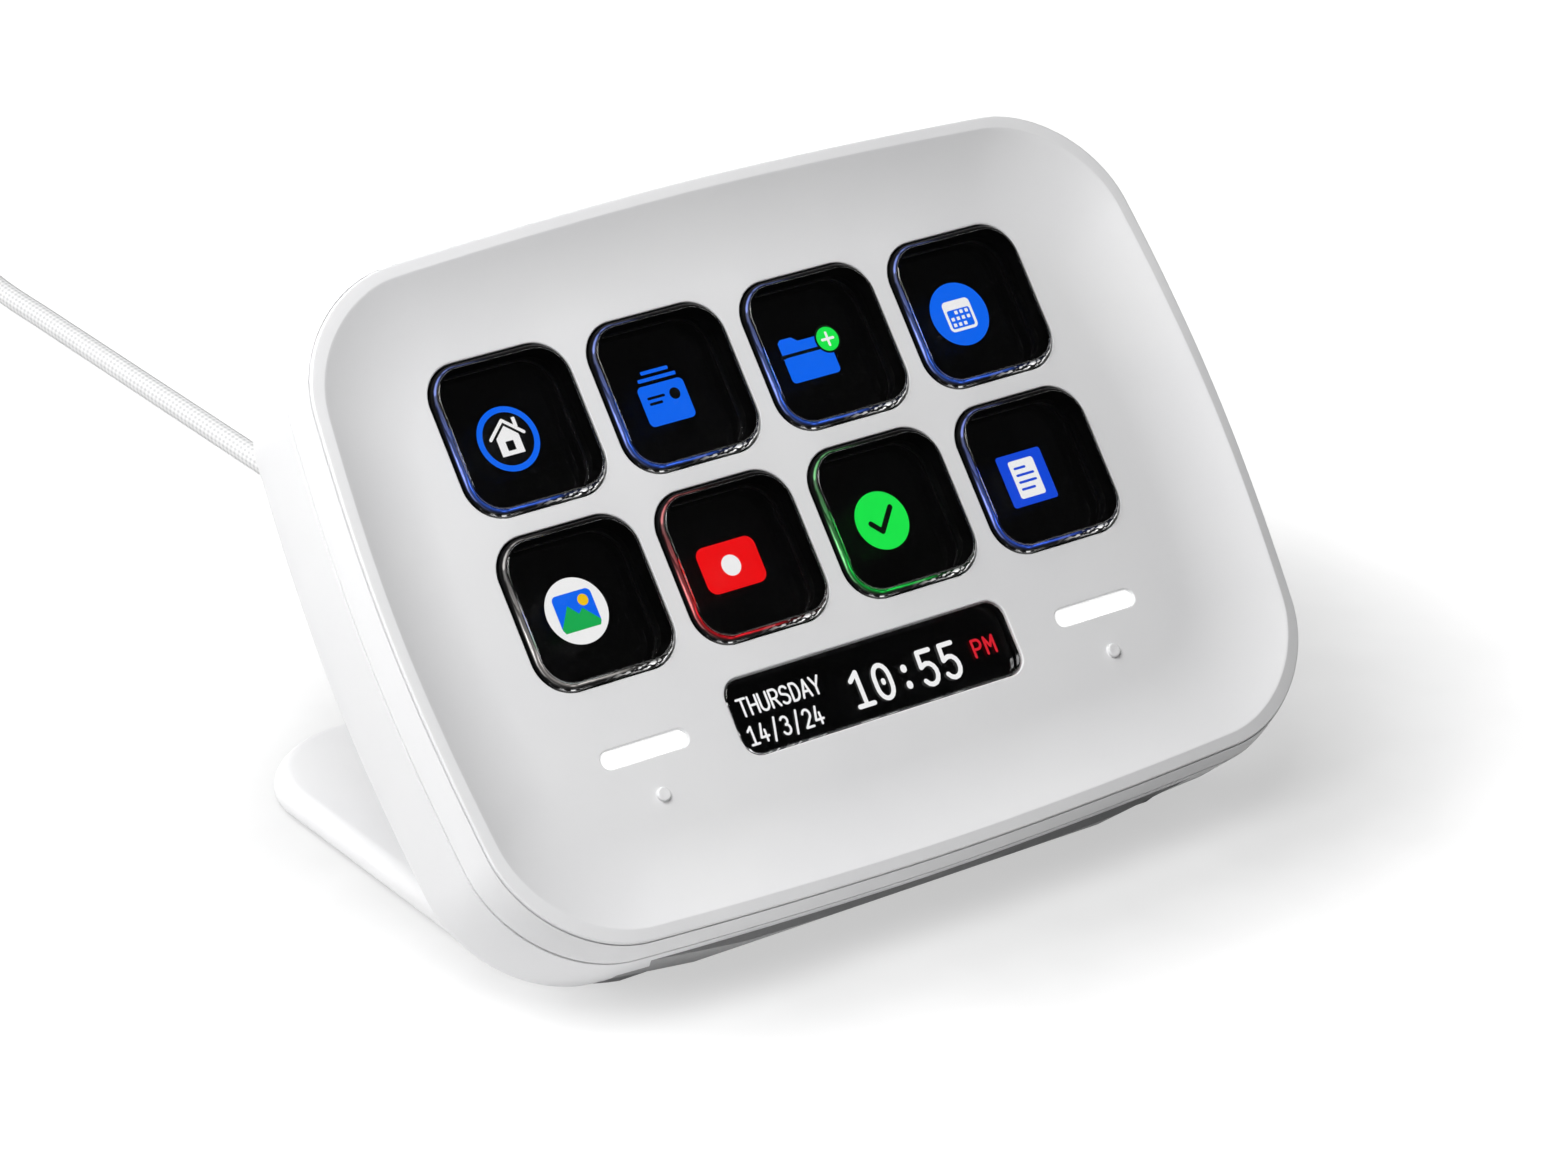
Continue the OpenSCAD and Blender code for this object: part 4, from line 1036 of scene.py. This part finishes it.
def make_light_guide(side, name):
    def ring(grow_l, grow_h, r, z):
        return face_outline((side * SLOT_X, STRIP_Y), SLOT_L + grow_l, SLOT_H + grow_h, r, z)

    end_r = (SLOT_H - 0.1) / 2 - 0.01
    rings = [ring(-1, 0, 0.8, z) for z in (-3.5, -2.4)] + [ring(1.8, 1.8, 1.6, z) for z in (-2.4, PARTING_Z)]
    rings.append(ring(-0.1, -0.1, end_r, PARTING_Z))
    for inward, down in rounding(0.12, 5):
        rings.append(ring(-0.1 - 2 * inward, -0.1 - 2 * inward, end_r - inward, -0.34 - down))
    return fitted(new_piece(solid(rings), name + "_bar"), "light_guide", LIGHT_GUIDE, name)


# ---- Cable, gland and plug

def make_cable():
    path = cable_path()
    sides = 20
    bm = bmesh.new()
    uv = bm.loops.layers.uv.new("weave")
    rows, lengths, run = [], [], 0.0
    for i, point in enumerate(path):
        ahead = (path[min(i + 1, len(path) - 1)] - path[max(i - 1, 0)]).normalized()
        side = UP.cross(ahead).normalized()
        up = ahead.cross(side)
        rows.append([bm.verts.new((point + (side * x + up * y) * CABLE_D / 2) * MM) for x, y in circle(sides)])
        run += (point - path[i - 1]).length if i else 0.0
        lengths.append(run)
    for j in range(len(rows) - 1):
        for k in range(sides):
            n = (k + 1) % sides
            face = bm.faces.new((rows[j][k], rows[j][n], rows[j + 1][n], rows[j + 1][k]))
            for loop, (a, b) in zip(face.loops, ((k, j), (k + 1, j), (k + 1, j + 1), (k, j + 1))):
                loop[uv].uv = (a / sides, lengths[b])
    bm.faces.new(rows[0][::-1])
    bm.faces.new(rows[-1])
    bmesh.ops.recalc_face_normals(bm, faces=bm.faces)
    for face in bm.faces:
        face.smooth = len(face.verts) == 4
    cable = fitted(new_piece(bm, "desk_cable"), "white_sleeve", WHITE_SLEEVE, "cable", "cable_coil", smooth=False)
    return cable, path


def make_gland():
    length = 14.2
    profile = [(1.5, 0), (3.8, 0), (3.8, 1.2), (3.0, 1.2), (3.0, 3.2)]
    profile += [(3.55, 3.2), (3.6, 3.25), (3.6, 4.1), (3.5, 4.2), (2.75, 5.0)]
    for i in range(5):
        at = 5.8 + i * 1.5
        r = 2.7 - 0.85 * (at - 5.0) / (length - 5.0)
        profile += [(r, at), (r - 0.28, at + 0.12), (r - 0.30, at + 0.42), (r - 0.07, at + 0.55)]
    profile += [(1.9, length - 0.15), (1.75, length), (1.5, length)]
    gland = new_piece(solid(turned(profile, on_desk(0, GLAND_START_Y, GLAND_Z), REARWARD, RIGHT)), "cable_sleeve")
    return fitted(gland, "white_plug", WHITE_PLUG, "cable_gland")


def plug_rings(w, h, r, profile):
    """Rings along the plug, each from (inset, distance)."""
    rings = []
    for inset, d in profile:
        outline = rounded_outline(w / 2 - inset, h / 2 - inset, max(r - inset, 0.05), 12)
        rings.append([on_desk(PLUG_START[0] - x, PLUG_START[1] - d, PLUG_START[2] + y) for x, y in outline])
    return rings


def make_plug():
    boot_profile = [(1.5, 0), (1.78, 0.05)]
    for i in range(4):
        at = 1.0 + 1.55 * i
        r = 1.8 + 0.8 * at / 7
        boot_profile += [(r, at), (r - 0.3, at + 0.1), (r - 0.3, at + 0.45), (r + 0.04, at + 0.55)]
    boot_profile += [(2.6, 7), (2.6, 9)]
    boot = new_piece(solid(turned(boot_profile, on_desk(*PLUG_START), -REARWARD, RIGHT)), "plug_relief")
    fitted(boot, "white_plug", WHITE_PLUG, "plug_boot")
    edge = rounding(0.7, 6)
    grip_side = [(down, 9 + inward) for inward, down in edge] + [(inward, 28 - down) for inward, down in edge]
    grip = new_piece(solid(plug_rings(10.8, 5.6, 2.75, grip_side)), "plug_grip")
    fitted(grip, "white_plug", WHITE_PLUG, "plug_body")
    tip_side = [(0, 28), (0, 34.3), (0.06, 34.5), (0.15, 34.6), (0.3, 34.6), (0.3, 29)]
    tip = new_piece(solid(plug_rings(8.3, 2.5, 1.24, tip_side)), "plug_tip")
    shaped(tip, "UNION", plug_rings(4.6, 0.5, 0.1, [(0, 28.5), (0, 34.0), (0.08, 34.1)]))
    fitted(tip, "plug_metal", PLUG_METAL, "plug_shell")
    return boot, grip, tip


# ---- Screws in the back

SCREW_SIZES = ("Head Diameter", "Head Height", "Shank Diameter", "Length", "Recess Width")


def screw_tree():
    """Nodes that set a cross-head screw on every point, its head towards the point's own aim."""
    tree = bpy.data.node_groups.new("screw_set", "GeometryNodeTree")

    def socket(name, kind, in_out="INPUT"):
        return tree.interface.new_socket(name, in_out=in_out, socket_type="NodeSocket" + kind)

    def node(kind, inputs=None, **settings):
        return add_node(tree, "GeometryNode" + kind, inputs, **settings)

    def times(a, b):
        return add_math(tree, "MULTIPLY", a, b)

    def vector(**parts):
        return add_node(tree, "ShaderNodeCombineXYZ", parts).outputs[0]

    def lifted(mesh, height):
        return node("Transform", {"Geometry": mesh.outputs["Mesh"], "Translation": vector(Z=height)}).outputs[0]

    socket("Geometry", "Geometry")
    sockets = {name: socket(name, "Float") for name in SCREW_SIZES}
    sockets["Finish"] = socket("Finish", "Material")
    socket("Geometry", "Geometry", "OUTPUT")
    given = tree.nodes.new("NodeGroupInput").outputs
    head_d, head_h, shank_d, length, recess_w = (given[name] for name in SCREW_SIZES)

    head_r = times(head_d, 0.5)
    head_radii = {"Radius Top": times(head_r, 0.90), "Radius Bottom": head_r}
    head = node("MeshCone", {"Vertices": 40, "Depth": head_h, **head_radii})
    down_head = times(head_h, -1.0)
    cross = node("MeshBoolean", {"Mesh 1": lifted(head, down_head)}, operation="DIFFERENCE")
    deep = times(head_h, 1.1)
    recess_l = times(head_d, 0.6)
    for x, y in ((recess_l, recess_w), (recess_w, recess_l)):
        slot = node("MeshCube", {"Size": vector(X=x, Y=y, Z=deep)})
        tree.links.new(slot.outputs["Mesh"], cross.inputs["Mesh 2"])
    shank_l = add_math(tree, "SUBTRACT", length, head_h)
    shank = node("MeshCylinder", {"Vertices": 24, "Radius": times(shank_d, 0.5), "Depth": shank_l})
    middle = add_math(tree, "SUBTRACT", down_head, times(shank_l, 0.5))
    screw = node("JoinGeometry", {"Geometry": cross.outputs["Mesh"]})
    tree.links.new(lifted(shank, middle), screw.inputs["Geometry"])

    aim = node("InputNamedAttribute", {"Name": "aim"}, data_type="FLOAT_VECTOR").outputs["Attribute"]
    turn = add_node(tree, "FunctionNodeAlignRotationToVector", {"Vector": aim}, axis="Z").outputs[0]
    points = node("MeshToPoints", {"Mesh": given["Geometry"]}).outputs["Points"]
    placed = node("InstanceOnPoints", {"Points": points, "Instance": screw.outputs[0], "Rotation": turn})
    real = node("RealizeInstances", {"Geometry": placed.outputs["Instances"]})
    coated = node("SetMaterial", {"Geometry": real.outputs[0], "Material": given["Finish"]})
    add_node(tree, "NodeGroupOutput", {"Geometry": coated.outputs[0]})
    return tree, {name: made.identifier for name, made in sockets.items()}


def make_screws(tree, sockets, name, places, aim, sizes, node_name):
    mesh = bpy.data.meshes.new(name)
    mesh.from_pydata([tuple(p) for p in places], [], [])
    heads = mesh.attributes.new("aim", "FLOAT_VECTOR", "POINT")
    for item in heads.data:
        item.vector = aim
    screws = bpy.data.objects.new(name, mesh)
    scene.collection.objects.link(screws)
    nodes = screws.modifiers.new("screw_set", "NODES")
    nodes.node_group = tree
    for label, value in zip(SCREW_SIZES, sizes):
        nodes[sockets[label]] = value * MM
    nodes[sockets["Finish"]] = SCREW_STEEL
    return fitted(baked(screws), "screw_steel", SCREW_STEEL, node_name)


def make_all_screws():
    tree, sockets = screw_tree()
    case_places = [on_face(x, y, BACK_Z + 0.3) for x, y in CASE_SPOTS]
    foot_places = [on_desk(x, y, SOLE_T + 0.05) for x, y in FOOT_SPOTS]
    make_screws(tree, sockets, "case_screw_set", case_places, -OUT, CASE_SCREW, "case_screws")
    make_screws(tree, sockets, "foot_screw_set", foot_places, -UP, FOOT_SCREW, "foot_screws")


# ---- Finishes of the nodes that stay

KEPT_NODES = {
    "key_mat": SILICONE, "contact_film": BLACK_FILM, "lcd_carrier": TRAY_WHITE, "touch_pads": PAD_COPPER,
    "touch_springs": SPRING_WIRE, "status_leds": LAMP_WHITE, "board_chips": CHIP_BLACK,
    "lead_connector": SOCKET_CREAM, "inner_lead": PLAIN_SLEEVE,
    **dict.fromkeys(("lcd_panel", "info_display"), DISPLAY_GLASS),
    **dict.fromkeys(("main_board", "touch_board"), BOARD_GREEN),
    **dict.fromkeys(("display_ribbon", "touch_ribbon"), FLEX_FILM),
    **dict.fromkeys(("board_screws", "carrier_screws", "touch_board_screws", "spine_screws"), SCREW_STEEL),
}


def finish_kept_nodes():
    for name, finish in KEPT_NODES.items():
        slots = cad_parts[name].data.materials
        if not len(slots):
            slots.append(finish)
        for i in range(len(slots)):
            slots[i] = finish


# ---- Light and floor

def soft_lamp(name, place, aim, width, height, power):
    lamp = bpy.data.lights.new(name, "AREA")
    lamp.shape = "RECTANGLE"
    lamp.size = width
    lamp.size_y = height
    lamp.energy = power
    made = bpy.data.objects.new(name, lamp)
    made.location = place
    made.rotation_mode = "QUATERNION"
    made.rotation_quaternion = (Vector(aim) - Vector(place)).to_track_quat("-Z", "Y")
    scene.collection.objects.link(made)


DARK_WALL_WAY = Vector((0.52, -0.55, 0.66))


def light_the_desk():
    soft_lamp("overhead", (-0.158, -0.099, 0.351), (0, 0, 0.04), 0.24, 0.24, 1.41)
    soft_lamp("window_behind", (-0.34, 0.50, 0.46), (0, 0, 0.02), 0.80, 0.80, 4.4)
    soft_lamp("window_left", (-0.55, 0.32, 0.30), (0, 0, 0.02), 0.40, 0.40, 0.8)
    world = bpy.data.worlds.new("studio")
    world.use_nodes = True
    scene.world = world
    tree = world.node_tree
    way = add_node(tree, "ShaderNodeTexCoord").outputs["Generated"]
    towards = add_node(tree, "ShaderNodeVectorMath", {0: way, 1: DARK_WALL_WAY.normalized()}, operation="DOT_PRODUCT")
    wall = add_range(tree, towards.outputs["Value"], 0.55, 0.90, 0.04, 0.015, "SMOOTHSTEP")
    seen = add_node(tree, "ShaderNodeLightPath").outputs["Is Camera Ray"]
    room = tree.nodes["Background"].inputs
    room["Color"].default_value = (1, 1, 1, 1)
    tree.links.new(add_math(tree, "MAXIMUM", seen, wall), room["Strength"])


def make_floor():
    bm = bmesh.new()
    bmesh.ops.create_grid(bm, x_segments=8, y_segments=8, size=2.5)
    floor = new_piece(bm, "desk_floor")
    floor.data.materials.append(PALE_FLOOR)


# ---- The whole scene

place_camera()
cable, path = make_cable()
gland = make_gland()
plug = make_plug()
make_face_plate()
make_rear_housing()
make_spine()
make_foot_plate()
make_sole()
for index in range(8):
    make_key(index)
draw_screens()
make_lens()
make_light_guide(-1, "light_guide_left")
make_light_guide(1, "light_guide_right")
make_all_screws()
finish_kept_nodes()
make_floor()
light_the_desk()
scene.view_settings.view_transform = "Standard"
